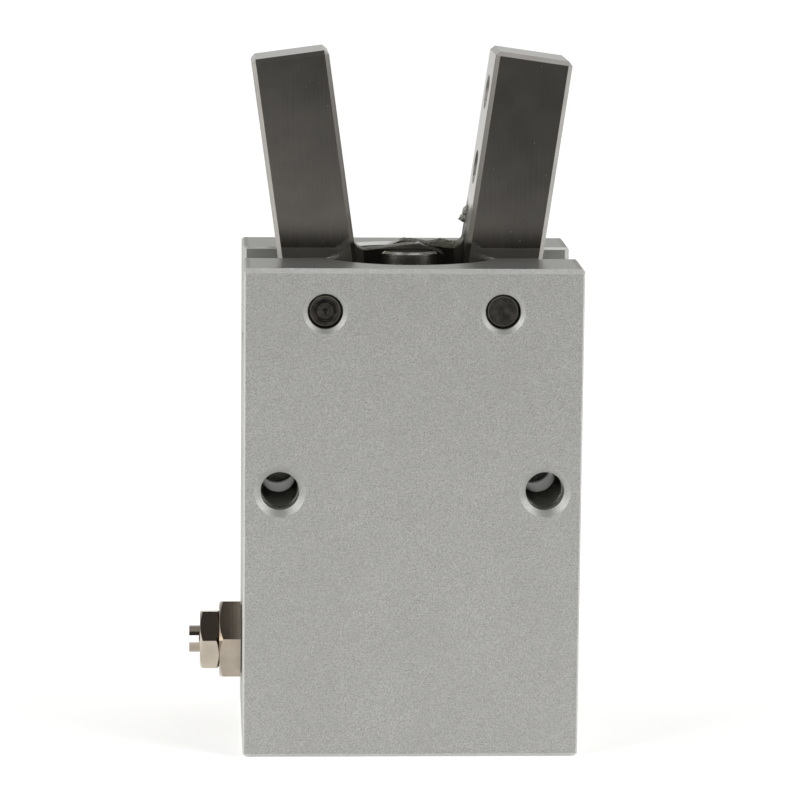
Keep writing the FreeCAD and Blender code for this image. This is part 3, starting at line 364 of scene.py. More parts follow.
def turned_metal(name, bright, dark, roughness, feed, relief=0.15, axis="Z", height=0.0):
    """Metal with a lathe's rings on its end faces and lines round its walls, and a little staining."""
    material, tree = new_finish(name)
    place = add(tree, "ShaderNodeTexCoord")["Object"]
    on_axis = add(tree, "ShaderNodeMapping", {"Vector": place, "Location": (0, 0, -height / 1000)})["Vector"]
    wave = {"Vector": on_axis, "Scale": per_metre(feed) * WAVE_LENGTH, "Distortion": 0.8, "Detail": 1.0}
    rings = add(tree, "ShaderNodeTexWave", wave, wave_type="RINGS", rings_direction=axis)["Fac"]
    lines = add(tree, "ShaderNodeTexWave", wave, wave_type="BANDS", bands_direction=axis)["Fac"]
    marks = add(tree, "ShaderNodeMath", {0: rings, 1: lines}, operation="ADD")[0]
    stains = add(tree, "ShaderNodeTexNoise", {"Vector": place, "Scale": per_metre(STAIN),
                                              "Detail": 4.0})["Fac"]
    patchy = add(tree, "ShaderNodeMapRange", {"Value": stains, "From Min": 0.35, "From Max": 0.7})["Result"]
    tint = add(tree, "ShaderNodeMix", {"Factor": patchy, "A": linear(bright), "B": linear(dark)},
               data_type="RGBA")["Result"]
    dull = add(tree, "ShaderNodeMapRange", {"Value": stains, "To Min": roughness - STAIN_SHINIER,
                                            "To Max": roughness + STAIN_DULLER})["Result"]
    bumps = add(tree, "ShaderNodeBump", {"Strength": relief, "Distance": TURNING_DEPTH / 1000,
                                         "Height": marks})["Normal"]
    surface = add(tree, "ShaderNodeBsdfPrincipled", {"Base Color": tint, "Metallic": 1.0, "Roughness": dull,
                                                     "Normal": bumps})["BSDF"]
    add(tree, "ShaderNodeOutputMaterial", {"Surface": surface})
    return material


# Turned stainless steel is a neutral grey that breaks highlights into fine lines, and ground it is
# cooler and much smoother. Feeds are drawn wider than real ones of 0.05 mm, or they would not show.
coat(turned_metal("stainless_steel_turned", "#CFCDC8", "#AFADA8", roughness=0.25, feed=0.18), "rod_joint")
coat(turned_metal("stainless_steel_ground", "#C3C5C8", "#B2B4B7", roughness=0.12, feed=0.12), "piston_rod")

# Piston, nut, magnet and seals: the piston is turned from aluminium, clear anodised and clamped on
# the rod by a plated steel nut. A magnet ring for the position switches and a double-lipped seal
# sit in its grooves, and moulded rings seal the rod, the cap, the bushing and the throttle screw.
# Anodised aluminium is a pale satin grey, and zinc plate is cooler and duller.
turned_piston = turned_metal("clear_anodised_aluminium_turned", "#C4C5C3", "#B1B2AF", roughness=0.28,
                             feed=0.2)
coat(turned_piston, "piston")
coat(turned_metal("steel_zinc_plated", "#B9BBBD", "#A3A6A4", roughness=0.35, feed=0.3), "piston_nut")
SPECK_DEPTH = 0.03
SPECK_SWING = 0.08


def dull_mix(name, light, dark, roughness, speckle, relief):
    """Filled or moulded material that isn't metallic, with an even speckle."""
    material, tree = new_finish(name)
    place = add(tree, "ShaderNodeTexCoord")["Object"]
    specks = add(tree, "ShaderNodeTexNoise", {"Vector": place, "Scale": per_metre(speckle), "Detail": 3.0,
                                              "Roughness": 0.6})["Fac"]
    spread = add(tree, "ShaderNodeMapRange", {"Value": specks, "From Min": 0.3, "From Max": 0.7})["Result"]
    tint = add(tree, "ShaderNodeMix", {"Factor": spread, "A": linear(dark), "B": linear(light)},
               data_type="RGBA")["Result"]
    dull = add(tree, "ShaderNodeMapRange", {"Value": specks, "To Min": roughness - SPECK_SWING,
                                            "To Max": roughness + SPECK_SWING})["Result"]
    bumps = add(tree, "ShaderNodeBump", {"Strength": relief, "Distance": SPECK_DEPTH / 1000,
                                         "Height": specks})["Normal"]
    surface = add(tree, "ShaderNodeBsdfPrincipled", {"Base Color": tint, "Roughness": dull,
                                                     "Normal": bumps})["BSDF"]
    add(tree, "ShaderNodeOutputMaterial", {"Surface": surface})
    return material


# Nitrile rubber is matt black with a faint bloom, and ferrite powder bonded in rubber is dark grey.
nitrile_rubber = dull_mix("nitrile_rubber_moulded", "#2C2C2B", "#1D1D1C", roughness=0.55, speckle=0.25,
                          relief=0.2)
coat(nitrile_rubber, "piston_seal", "rod_seal", "cap_o_ring", "bushing_gasket", "needle_o_ring")
bonded_ferrite = dull_mix("ferrite_rubber_bonded", "#4B4A48", "#333231", roughness=0.5, speckle=0.15,
                          relief=0.3)
coat(bonded_ferrite, "magnet_ring")

# Rod guide and end stops: a sintered bronze bush pressed into the partition, the stamped steel
# retainer that holds the rod seal, and two soft polyurethane discs that stop the piston.
# Sintered bronze is an oily brown, cast polyurethane a smooth amber, and stamped steel a dull grey.
urethane = dull_mix("polyurethane_cast", "#B98A45", "#A67A3A", roughness=0.35, speckle=1.2, relief=0.08)
coat(urethane, "front_bumper", "rear_bumper")
coat(turned_metal("bronze_sintered", "#9C7444", "#77552F", roughness=0.4, feed=0.2), "rod_bush")
stamped_steel = turned_metal("stainless_steel_stamped", "#9A9B9B", "#848584", roughness=0.36, feed=0.25)
coat(stamped_steel, "seal_retainer")

# Rear cap and clip: a turned, clear anodised aluminium disc closes the cylinder from below. A spring
# clip with two eyes snaps into the bore's groove under it.
# The cap's turned face shows rings, and the clip's phosphate is a dull dark grey.
turned_cap = turned_metal("clear_anodised_aluminium_face_turned", "#BCBDBA", "#A9AAA6", roughness=0.3,
                          feed=0.3)
coat(turned_cap, "rear_cap")
phosphate = dull_mix("spring_steel_phosphated", "#4A4A47", "#343431", roughness=0.48, speckle=0.2, relief=0.3)
coat(phosphate, "cap_clip")

# Fingers: two equal levers of tool steel, milled, hardened and surface ground.
# Each turns on its pivot pin, and its thin tail lies beside the other one's in the rod joint.

# Ground hardened steel is a dark mirror: it takes the tone of what stands before it, with fine
# lines along the blade, dull stoned edges and a few bright specks where the grit dug in.
# Painted shade makes the tails and the flanks that face each other near black low down, and grease
# leaves a dull grey smear on the roots of the blades.
# The lines are drawn wider than real ones of 0.03 mm, or they would not show.
GRIND_LINE = 0.12
GRIND_LINE_LENGTH = 6.0
GRIND_DEPTH = 0.02
STEEL_CLOUD = 2.5
DIG_SPACING = 1.0
DIG_CORE = 0.03
DIG_RIM = 0.07
DIG_SHARE = 0.6
TAILS_WITHIN = 4.2
STANDING_BELOW = 0.5
FLANK_FROM = 0.4
UPWARD_FROM = 0.4
CROSSWISE_BELOW = 0.8
ROOT_SHADE_FULL_BELOW = 46.2
ROOT_SHADE_ENDS_ABOVE = 46.8
FLAT_RISE = 0.8
SMEAR_SLOPE = 0.9
SMEAR_RAGGED = 3.0
SMEAR_END = 53.4
SMEAR_FULL = 51.4
WIPED_END = 51.2
WIPED_FULL = 50.3
SMEAR_ROUGHNESS = 0.5
STONED_ROUGHNESS = 0.42
TAIL_ROUGHNESS = 0.16
LEAN = math.radians(8.0)

ground_steel, tree = new_finish("tool_steel_hardened_ground")
place = add(tree, "ShaderNodeTexCoord")["Object"]
axes = add(tree, "ShaderNodeSeparateXYZ", {"Vector": place})
beside = add(tree, "ShaderNodeMath", {0: axes["X"]}, operation="ABSOLUTE")[0]
folded = add(tree, "ShaderNodeCombineXYZ", {"X": beside, "Y": axes["Y"], "Z": axes["Z"]})["Vector"]
along = add(tree, "ShaderNodeMapping", {"Vector": folded, "Rotation": (0, -LEAN, 0),
                                        "Scale": (1.0, 1.0, GRIND_LINE / GRIND_LINE_LENGTH)})["Vector"]
grind = add(tree, "ShaderNodeTexNoise", {"Vector": along, "Scale": per_metre(GRIND_LINE),
                                         "Detail": 2.0})["Fac"]
clouds = add(tree, "ShaderNodeTexNoise", {"Vector": place, "Scale": per_metre(STEEL_CLOUD),
                                          "Detail": 4.0})["Fac"]
digs = add(tree, "ShaderNodeTexVoronoi", {"Vector": place, "Scale": per_metre(DIG_SPACING)})["Distance"]
speck = add(tree, "ShaderNodeMapRange", {"Value": digs, "From Min": DIG_CORE, "From Max": DIG_RIM,
                                         "To Min": DIG_SHARE, "To Max": 0.0})["Result"]

# A standing face that is square to neither the front nor the sides is a stoned edge.
normal = add(tree, "ShaderNodeNewGeometry")["True Normal"]
facing = add(tree, "ShaderNodeSeparateXYZ", {"Vector": normal})
square = add(tree, "ShaderNodeVectorMath", {0: normal}, operation="ABSOLUTE")["Vector"]
turned = add(tree, "ShaderNodeSeparateXYZ", {"Vector": square})
level = add(tree, "ShaderNodeMath", {0: turned["X"], 1: turned["Y"]}, operation="MAXIMUM")[0]
slanting = add(tree, "ShaderNodeMath", {0: level, 1: SQUARE_FROM}, operation="LESS_THAN")[0]
standing = add(tree, "ShaderNodeMath", {0: turned["Z"], 1: STANDING_BELOW}, operation="LESS_THAN")[0]
edge = add(tree, "ShaderNodeMath", {0: slanting, 1: standing}, operation="MULTIPLY")[0]

# Painted shade lies low on the flanks that face each other, and rises a little on the flat ones.
inner_half = add(tree, "ShaderNodeMath", {0: beside, 1: PIN_PITCH_HALF / 1000}, operation="LESS_THAN")[0]
flank = add(tree, "ShaderNodeMath", {0: turned["X"], 1: FLANK_FROM}, operation="GREATER_THAN")[0]
inner_flank = add(tree, "ShaderNodeMath", {0: flank, 1: inner_half}, operation="MULTIPLY")[0]
flat = add(tree, "ShaderNodeMath", {0: turned["X"], 1: SQUARE_FROM}, operation="GREATER_THAN")[0]
lowered = add(tree, "ShaderNodeMath", {0: flat, 1: -FLAT_RISE / 1000, 2: axes["Z"]},
              operation="MULTIPLY_ADD")[0]
low = add(tree, "ShaderNodeMapRange", {"Value": lowered, "From Min": ROOT_SHADE_ENDS_ABOVE / 1000,
                                       "From Max": ROOT_SHADE_FULL_BELOW / 1000})["Result"]
upward = add(tree, "ShaderNodeMath", {0: facing["Z"], 1: UPWARD_FROM}, operation="GREATER_THAN")[0]
shaded_low = add(tree, "ShaderNodeMath", {0: low, 1: upward}, operation="SUBTRACT", use_clamp=True)[0]
painted_root_shade = add(tree, "ShaderNodeMath", {0: inner_flank, 1: shaded_low}, operation="MULTIPLY")[0]

# The dull smear ends in a ragged line, on the fronts of the blades and on their inner roots.
among_tails = add(tree, "ShaderNodeMath", {0: beside, 1: TAILS_WITHIN / 1000}, operation="LESS_THAN")[0]
sloping = add(tree, "ShaderNodeMath", {0: beside, 1: SMEAR_SLOPE, 2: axes["Z"]}, operation="MULTIPLY_ADD")[0]
ragged = add(tree, "ShaderNodeMath", {0: clouds, 1: SMEAR_RAGGED / 1000, 2: sloping},
             operation="MULTIPLY_ADD")[0]
touched = add(tree, "ShaderNodeMapRange", {"Value": ragged, "From Min": SMEAR_END / 1000,
                                           "From Max": SMEAR_FULL / 1000})["Result"]
at_front = add(tree, "ShaderNodeMath", {0: facing["Y"], 1: -SQUARE_FROM}, operation="LESS_THAN")[0]
on_blade = add(tree, "ShaderNodeMath", {0: at_front, 1: among_tails}, operation="SUBTRACT",
               use_clamp=True)[0]
front_smear = add(tree, "ShaderNodeMath", {0: touched, 1: on_blade}, operation="MULTIPLY")[0]
wavy = add(tree, "ShaderNodeMath", {0: clouds, 1: SMEAR_RAGGED / 1000, 2: axes["Z"]},
           operation="MULTIPLY_ADD")[0]
wiped = add(tree, "ShaderNodeMapRange", {"Value": wavy, "From Min": WIPED_END / 1000,
                                         "From Max": WIPED_FULL / 1000})["Result"]
crosswise = add(tree, "ShaderNodeMath", {0: turned["Y"], 1: CROSSWISE_BELOW}, operation="LESS_THAN")[0]
inside = add(tree, "ShaderNodeMath", {0: inner_half, 1: crosswise}, operation="MULTIPLY")[0]
root = add(tree, "ShaderNodeMath", {0: inside, 1: among_tails}, operation="SUBTRACT", use_clamp=True)[0]
root_smear = add(tree, "ShaderNodeMath", {0: wiped, 1: root}, operation="MULTIPLY")[0]
coated = add(tree, "ShaderNodeMath", {0: front_smear, 1: root_smear}, operation="MAXIMUM")[0]
smeared = add(tree, "ShaderNodeMath", {0: coated, 1: painted_root_shade}, operation="SUBTRACT", use_clamp=True)[0]

patchy = add(tree, "ShaderNodeMapRange", {"Value": clouds, "From Min": 0.35, "From Max": 0.65})["Result"]
tone = add(tree, "ShaderNodeMix", {"Factor": patchy, "A": linear("#9D9A96"), "B": linear("#A8A5A0")},
           data_type="RGBA")["Result"]
specked = add(tree, "ShaderNodeMix", {"Factor": speck, "A": tone, "B": linear("#C4C1BC")},
              data_type="RGBA")["Result"]
# The stoned edges on the inner half are painted darker, a painted shade between the two fingers.
shaded_inner_edge = add(tree, "ShaderNodeMath", {0: edge, 1: inner_half}, operation="MULTIPLY")[0]
inner_edges_shaded = add(tree, "ShaderNodeMix", {"Factor": shaded_inner_edge, "A": specked, "B": linear("#84817C")},
            data_type="RGBA")["Result"]
# Painted shade: near black low on the facing flanks and on the tails.
wet_and_shaded = add(tree, "ShaderNodeMix", {"Factor": painted_root_shade, "A": inner_edges_shaded, "B": linear("#26251F")},
          data_type="RGBA")["Result"]
tint = add(tree, "ShaderNodeMix", {"Factor": smeared, "A": wet_and_shaded, "B": linear("#75736A")},
           data_type="RGBA")["Result"]

even = add(tree, "ShaderNodeMapRange", {"Value": clouds, "To Min": 0.02, "To Max": 0.04})["Result"]
rough_spot = add(tree, "ShaderNodeMath", {0: speck, 1: coated}, operation="MAXIMUM")[0]
flat_ground = add(tree, "ShaderNodeMix", {"Factor": rough_spot, "A": even, "B": SMEAR_ROUGHNESS},
                  data_type="FLOAT")["Result"]
stoned = add(tree, "ShaderNodeMix", {"Factor": edge, "A": flat_ground, "B": STONED_ROUGHNESS},
             data_type="FLOAT")["Result"]
tail_top = add(tree, "ShaderNodeMath", {0: upward, 1: among_tails}, operation="MULTIPLY")[0]
satin = add(tree, "ShaderNodeMix", {"Factor": tail_top, "A": stoned, "B": TAIL_ROUGHNESS},
            data_type="FLOAT")["Result"]
bumps = add(tree, "ShaderNodeBump", {"Strength": 0.08, "Distance": GRIND_DEPTH / 1000,
                                     "Height": grind})["Normal"]
surface = add(tree, "ShaderNodeBsdfPrincipled", {"Base Color": tint, "Metallic": 1.0, "Roughness": satin,
                                                 "Normal": bumps})["BSDF"]
add(tree, "ShaderNodeOutputMaterial", {"Surface": surface})
coat(ground_steel, "left_finger", "right_finger")

# Threads in the fingers: two tapped through each blade, for the gripping tools.
# They are cut before hardening, so they are the fingers' own steel with a tap's dull flanks.
GRIP_HOLE = 1.25
GRIP_HEIGHTS = (18.6, 11.6)
GRIP_PITCH = 0.5
GRIP_RIDGE = 0.12
BLADE_HALF = 3.55


def beside_pivot(side, x, y, z):
    """Place on the model of a point beside a finger's pivot: x inwards, z along the leaning blade."""
    inward = x * math.cos(LEAN) - z * math.sin(LEAN) - PIN_PITCH_HALF
    upward = x * math.sin(LEAN) + z * math.cos(LEAN) + PIN_HEIGHT
    if side == "right":
        return Vector((-inward, -y, upward))
    return Vector((inward, y, upward))


tapped_steel = turned_metal("tool_steel_tapped", "#87847F", "#6B6864", roughness=0.38, feed=0.25)
for side in ("left", "right"):
    heading = beside_pivot(side, 1, 0, 0) - beside_pivot(side, 0, 0, 0)
    for order, z in zip(("upper", "lower"), GRIP_HEIGHTS):
        start = beside_pivot(side, COUNTERSINK - BLADE_HALF, 0, z)
        ridge = thread_ridge(f"{side}_finger_{order}_thread", start, heading, GRIP_HOLE, GRIP_PITCH,
                             2 * (BLADE_HALF - COUNTERSINK), GRIP_RIDGE)
        ridge.data.materials.append(tapped_steel)
        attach(ridge, f"{side}_lever")

# Grease: lithium soap grease brushed on the joint at assembly. It lies in lumps on the ledges of
# the tails and in the corners below the blades, and two drops cling to the right blade.
LEDGE = 3.7
FILLET = 1.2
TAIL_NEAR = 0.1
TAIL_FAR = 1.5
FILM_ROOT = 0.04
FILM_STEP = 0.09
FILM_COLUMNS = 14
CROWN_FLATNESS = 3
LUMPS_PER_MM = 1.6
CROSSWISE_LUMPS = 7
COARSE_LUMP = 0.3
FINE_LUMP = 0.18
FINE_LUMP_RATE = 2.7
DROP_LUMP = 0.25
DROP_LUMP_RATE = 1.7
DROP_SAG = 0.25
LEFT_FILM = ((0.35, 0.0), (0.8, 0.1), (1.9, 0.2), (2.6, 0.16), (3.2, 0.1), (5.6, 0.11), (6.3, 0.0))
RIGHT_FILM = ((-1.2, 0.0), (-0.5, 0.12), (0.5, 0.36), (1.3, 0.56), (2.6, 0.6), (3.3, 0.5), (3.9, 0.26),
              (5.0, 0.3), (6.2, 0.26), (6.6, 0.0))


def tail_path(length):
    """Point and outward direction on the tail's top, by the distance from the top of its fillet."""
    arc = FILLET * math.pi / 2
    if length < 0:
        return (BLADE_HALF, LEDGE + FILLET - length), (1.0, 0.0)
    if length < arc:
        turn = length / FILLET
        centre = (BLADE_HALF + FILLET, LEDGE + FILLET)
        outward = (math.cos(turn), math.sin(turn))
        return (centre[0] - FILLET * outward[0], centre[1] - FILLET * outward[1]), outward
    return (BLADE_HALF + FILLET + length - arc, LEDGE), (0.0, 1.0)


def film_height(stations, length):
    """Height of the film, straight between the given (length, height) stations."""
    for (start, low), (end, high) in zip(stations, stations[1:]):
        if start <= length <= end:
            return low + (high - low) * (length - start) / (end - start)
    return 0.0


def grease_film(name, side, stations, lumps):
    """Lumpy film along the top of a tail, rounded off at its rims and rooted in the steel."""
    first = stations[0][0]
    last = stations[-1][0]
    rows = int((last - first) / FILM_STEP)
    mesh = bmesh.new()
    upper = []
    lower = []
    for row in range(rows + 1):
        length = first + (last - first) * row / rows
        (x, z), outward = tail_path(length)
        for line in (upper, lower):
            line.append([])
        for column in range(FILM_COLUMNS + 1):
            share = column / FILM_COLUMNS
            y = -TAIL_NEAR - (TAIL_FAR - TAIL_NEAR) * share
            crown = math.sqrt(1 - abs(2 * share - 1) ** CROWN_FLATNESS)
            spot = Vector((length, CROSSWISE_LUMPS * y, lumps)) * LUMPS_PER_MM
            lump = 1 + COARSE_LUMP * noise.noise(spot) + FINE_LUMP * noise.noise(spot * FINE_LUMP_RATE)
            height = film_height(stations, length) * crown * lump
            for line, lift in ((upper, height), (lower, -FILM_ROOT)):
                place = beside_pivot(side, x + outward[0] * lift, y, z + outward[1] * lift)
                line[-1].append(mesh.verts.new(place / 1000))
    for sheet in (upper, lower):
        for before, after in zip(sheet, sheet[1:]):
            for column in range(FILM_COLUMNS):
                mesh.faces.new((before[column], before[column + 1], after[column + 1], after[column]))
    rim = [(row, 0) for row in range(rows)]
    rim += [(rows, column) for column in range(FILM_COLUMNS)]
    rim += [(row, FILM_COLUMNS) for row in range(rows, 0, -1)]
    rim += [(0, column) for column in range(FILM_COLUMNS, 0, -1)]
    for here, there in zip(rim, rim[1:] + rim[:1]):
        mesh.faces.new((upper[here[0]][here[1]], upper[there[0]][there[1]],
                        lower[there[0]][there[1]], lower[here[0]][here[1]]))
    bmesh.ops.recalc_face_normals(mesh, faces=mesh.faces)
    return smooth_piece(name, mesh)


def grease_drop(name, side, y, z, reach, width, height, lumps):
    """Drop that clings to a blade's inner face, half sunk in it."""
    mesh = bmesh.new()
    bmesh.ops.create_icosphere(mesh, subdivisions=4, radius=1.0)
    for vertex in mesh.verts:
        swell = 1 + DROP_LUMP * noise.noise(vertex.co * DROP_LUMP_RATE + Vector((lumps, 0, 0)))
        ball = vertex.co * swell
        sag = -DROP_SAG * height * max(0.0, ball.x)
        place = beside_pivot(side, BLADE_HALF + ball.x * reach, y + ball.y * width, z + ball.z * height + sag)
        vertex.co = place / 1000
    return smooth_piece(name, mesh)


# Soap grease is a cloudy grey-green paste, wet on top, that shows the soap's fibres as fine lumps.
# Down between the tails it is given a darker tone, a painted shade, and the drops on the lit blade a
# paler one, painted light.
SOAP_LUMP = 0.22
SOAP_LUMP_DEPTH = 0.06


def soap_grease(name, dark, light):
    """Grease with the soap's fibres between a dark and a light tone."""
    material, tree = new_finish(name)
    place = add(tree, "ShaderNodeTexCoord")["Object"]
    fibres = add(tree, "ShaderNodeTexNoise", {"Vector": place, "Scale": per_metre(SOAP_LUMP), "Detail": 4.0,
                                              "Roughness": 0.6})["Fac"]
    spread = add(tree, "ShaderNodeMapRange", {"Value": fibres, "From Min": 0.32, "From Max": 0.68})["Result"]
    tint = add(tree, "ShaderNodeMix", {"Factor": spread, "A": linear(dark), "B": linear(light)},
               data_type="RGBA")["Result"]
    wet_and_shaded = add(tree, "ShaderNodeMapRange", {"Value": fibres, "To Min": 0.22, "To Max": 0.5})["Result"]
    bumps = add(tree, "ShaderNodeBump", {"Strength": 0.5, "Distance": SOAP_LUMP_DEPTH / 1000,
                                         "Height": fibres})["Normal"]
    surface = add(tree, "ShaderNodeBsdfPrincipled", {"Base Color": tint, "IOR": 1.48, "Roughness": wet_and_shaded,
                                                     "Normal": bumps})["BSDF"]
    add(tree, "ShaderNodeOutputMaterial", {"Surface": surface})
    return material


# The darker tone on the tails is a painted shade, and the paler one on the drops is painted light.
shaded_grease = soap_grease("lithium_grease_painted_shade", "#4C4B3F", "#97978A")
lit_grease = soap_grease("lithium_grease_painted_light", "#8C8C80", "#DADAD2")
left_film = grease_film("left_tail_grease", "left", LEFT_FILM, lumps=2.0)
right_film = grease_film("right_tail_grease", "right", RIGHT_FILM, lumps=9.0)
upper_drop = grease_drop("right_finger_upper_drop", "right", y=-2.3, z=7.2, reach=0.4, width=0.75,
                         height=0.42, lumps=3.0)
lower_drop = grease_drop("right_finger_lower_drop", "right", y=-2.6, z=6.45, reach=0.58, width=0.6,
                         height=0.42, lumps=5.0)
grease = (
    ("left", shaded_grease, left_film),
    ("right", shaded_grease, right_film),
    ("right", lit_grease, upper_drop),
    ("right", lit_grease, lower_drop),
)
for side, finish, piece in grease:
    piece.data.materials.append(finish)
    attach(piece, f"{side}_lever")

# Throttle: a hexagon bushing screwed into the left side against a rubber ring, with a lock nut and
# a slotted needle screw in it. All three are turned from brass bar and nickel plated.

# Nickel plate is a warm, yellowish mirror with the bar's drawn lines just showing through.
NEEDLE_HEIGHT = 8.4
satin_nickel = turned_metal("brass_satin_nickel_plated", "#ABA194", "#9C9285", roughness=0.14, feed=0.3,
                            relief=0.012, axis="X", height=NEEDLE_HEIGHT)
coat(satin_nickel, "needle_bushing", "needle")
bright_nickel = turned_metal("brass_nickel_plated", "#C1B8AB", "#B1A799", roughness=0.12, feed=0.3,
                             relief=0.012, axis="X", height=NEEDLE_HEIGHT)
coat(bright_nickel, "needle_locknut")

# Stage: a sheet of white paper for a floor, a white light tent open towards the camera with a soft
# lamp at each side of its opening, and the camera where the photograph was taken from.
# The dark room beyond the opening is what the fingers' fronts mirror.
FLOOR_HALF = 3.0
FLOOR_FRONT = 0.28
PAPER_NEAR = 0.05
PAPER_DIM = 0.14
PAPER_FAR = 0.6
GLOW_NEAR = 0.42
GLOW_FAR = 0.58
MIRRORED_GLOW = 0.55
MIRRORED_FAR = 0.48
CAMERA_PLACE = (-19.04, -360.76, 90.69)
CAMERA_YAW = math.radians(2.919)
CAMERA_DOWN = math.radians(9.368)
CAMERA_ROLL = math.radians(0.569)
CAMERA_LENS = 177.15
CAMERA_SENSOR = 36.0
OPENING_HEIGHT = math.radians(25.0)
OPENING_EDGE = math.radians(56.0)
OPENING_CORE = math.radians(50.0)
SLIT_SIDE = -0.12
SLIT_EDGE = 0.14
SLIT_CORE = 0.1
SLIT_DEPTH = 0.88
SLIT_END = 0.75
SLIT_FADE = 0.6
ROOM_BRIGHT_BELOW = -0.112
ROOM_DIM_ABOVE = -0.062
ROOM_SLANT = 0.35
ROOM_DARK_FROM = 0.0
ROOM_DARK_ABOVE = 0.2
TABLE_EDGE = -0.1185
TABLE_DARK_BELOW = -0.1235
BACKDROP_START = 0.2
BACKDROP_FULL = 0.85
LAMP_SIDE = math.radians(62.0)
LAMP_HEIGHT = math.radians(32.0)
LAMP_DISTANCE = 0.6
LAMP_SIZE = 0.3
LAMP_POWER = 1.3
TENT_LIGHT = 0.9

# White paper is bright and matt, and it glows as well. For the camera it glows paler far away,
# and in mirrors it glows brightest under the part, a painted pool of light.
paper, tree = new_finish("white_paper")
rays = add(tree, "ShaderNodeLightPath")
place = add(tree, "ShaderNodeTexCoord")["Object"]
depth = add(tree, "ShaderNodeSeparateXYZ", {"Vector": place})["Y"]
away = add(tree, "ShaderNodeVectorMath", {0: place}, operation="LENGTH")["Value"]
paler = add(tree, "ShaderNodeMapRange", {"Value": away, "From Min": PAPER_NEAR, "From Max": PAPER_FAR,
                                         "To Min": GLOW_NEAR, "To Max": GLOW_FAR})["Result"]
seen = add(tree, "ShaderNodeMath", {0: rays["Is Camera Ray"], 1: paler}, operation="MULTIPLY")[0]
bounced = add(tree, "ShaderNodeMath", {0: rays["Is Glossy Ray"], 1: rays["Is Transmission Ray"]},
              operation="MAXIMUM")[0]
ahead = add(tree, "ShaderNodeMapRange", {"Value": depth, "From Min": -PAPER_DIM, "From Max": -PAPER_NEAR,
                                         "To Max": MIRRORED_GLOW})["Result"]
beyond = add(tree, "ShaderNodeMapRange", {"Value": depth, "From Min": PAPER_NEAR, "From Max": PAPER_FAR,
                                          "To Min": 1.0, "To Max": MIRRORED_FAR})["Result"]
# In mirrors the paper glows brightest under the part, a painted pool of light.
painted_light_pool = add(tree, "ShaderNodeMath", {0: ahead, 1: beyond}, operation="MULTIPLY")[0]
mirrored = add(tree, "ShaderNodeMath", {0: bounced, 1: painted_light_pool}, operation="MULTIPLY")[0]
fill = add(tree, "ShaderNodeMath", {0: seen, 1: mirrored}, operation="ADD")[0]
matt = add(tree, "ShaderNodeBsdfDiffuse", {"Color": linear("#EDEDEB")})["BSDF"]
glow = add(tree, "ShaderNodeEmission", {"Color": linear("#FFFFFF"), "Strength": fill})["Emission"]
both = add(tree, "ShaderNodeAddShader", {0: matt, 1: glow})["Shader"]
add(tree, "ShaderNodeOutputMaterial", {"Surface": both})

floor_data = bpy.data.meshes.new("floor")
floor_corners = [(-FLOOR_HALF, -FLOOR_FRONT, 0), (FLOOR_HALF, -FLOOR_FRONT, 0), (FLOOR_HALF, FLOOR_HALF, 0),
                 (-FLOOR_HALF, FLOOR_HALF, 0)]
floor_data.from_pydata(floor_corners, [], [(0, 1, 2, 3)])
floor_data.materials.append(paper)
floor = bpy.data.objects.new("floor", floor_data)
bpy.context.scene.collection.objects.link(floor)

tent = bpy.data.worlds.new("light_tent")
tent.use_nodes = True
tree = tent.node_tree
tree.nodes.clear()
way = add(tree, "ShaderNodeTexCoord")["Generated"]
axes = add(tree, "ShaderNodeSeparateXYZ", {"Vector": way})
rays = add(tree, "ShaderNodeLightPath")
unseen = add(tree, "ShaderNodeMath", {0: 1.0, 1: rays["Is Camera Ray"]}, operation="SUBTRACT")[0]

# The round opening in front and a slit in the roof are dark. The camera sees neither.
opening = (0.0, -math.cos(OPENING_HEIGHT), math.sin(OPENING_HEIGHT))
towards = add(tree, "ShaderNodeVectorMath", {0: way, 1: opening}, operation="DOT_PRODUCT")["Value"]
door = add(tree, "ShaderNodeMapRange", {"Value": towards, "From Min": math.cos(OPENING_EDGE),
                                        "From Max": math.cos(OPENING_CORE)},
           interpolation_type="SMOOTHSTEP")["Result"]
aside = add(tree, "ShaderNodeMath", {0: axes["X"], 1: SLIT_SIDE}, operation="SUBTRACT")[0]
off_slit = add(tree, "ShaderNodeMath", {0: aside}, operation="ABSOLUTE")[0]
narrow = add(tree, "ShaderNodeMapRange", {"Value": off_slit, "From Min": SLIT_EDGE, "From Max": SLIT_CORE},
             interpolation_type="SMOOTHSTEP")["Result"]
before = add(tree, "ShaderNodeMapRange", {"Value": axes["Y"], "From Min": SLIT_END, "From Max": SLIT_FADE},
             interpolation_type="SMOOTHSTEP")["Result"]
whole = add(tree, "ShaderNodeMath", {0: narrow, 1: before}, operation="MULTIPLY")[0]
slit = add(tree, "ShaderNodeMath", {0: whole, 1: SLIT_DEPTH}, operation="MULTIPLY")[0]
gap = add(tree, "ShaderNodeMath", {0: door, 1: slit}, operation="MAXIMUM")[0]
dark = add(tree, "ShaderNodeMath", {0: gap, 1: unseen}, operation="MULTIPLY")[0]

# The room has a wall that is brighter low down, darkness above it and a dark table below it.
slanted = add(tree, "ShaderNodeMath", {0: axes["X"], 1: ROOM_SLANT, 2: axes["Z"]},
              operation="MULTIPLY_ADD")[0]
height = add(tree, "ShaderNodeMapRange", {"Value": slanted, "From Min": ROOM_BRIGHT_BELOW,
                                          "From Max": ROOM_DIM_ABOVE},
             interpolation_type="SMOOTHSTEP")["Result"]
wall = add(tree, "ShaderNodeMix", {"Factor": height, "A": linear("#9B9996"), "B": linear("#6C6B69")},
           data_type="RGBA")["Result"]
above = add(tree, "ShaderNodeMapRange", {"Value": axes["Z"], "From Min": ROOM_DARK_FROM,
                                         "From Max": ROOM_DARK_ABOVE},
            interpolation_type="SMOOTHSTEP")["Result"]
hall = add(tree, "ShaderNodeMix", {"Factor": above, "A": wall, "B": linear("#494644")},
           data_type="RGBA")["Result"]
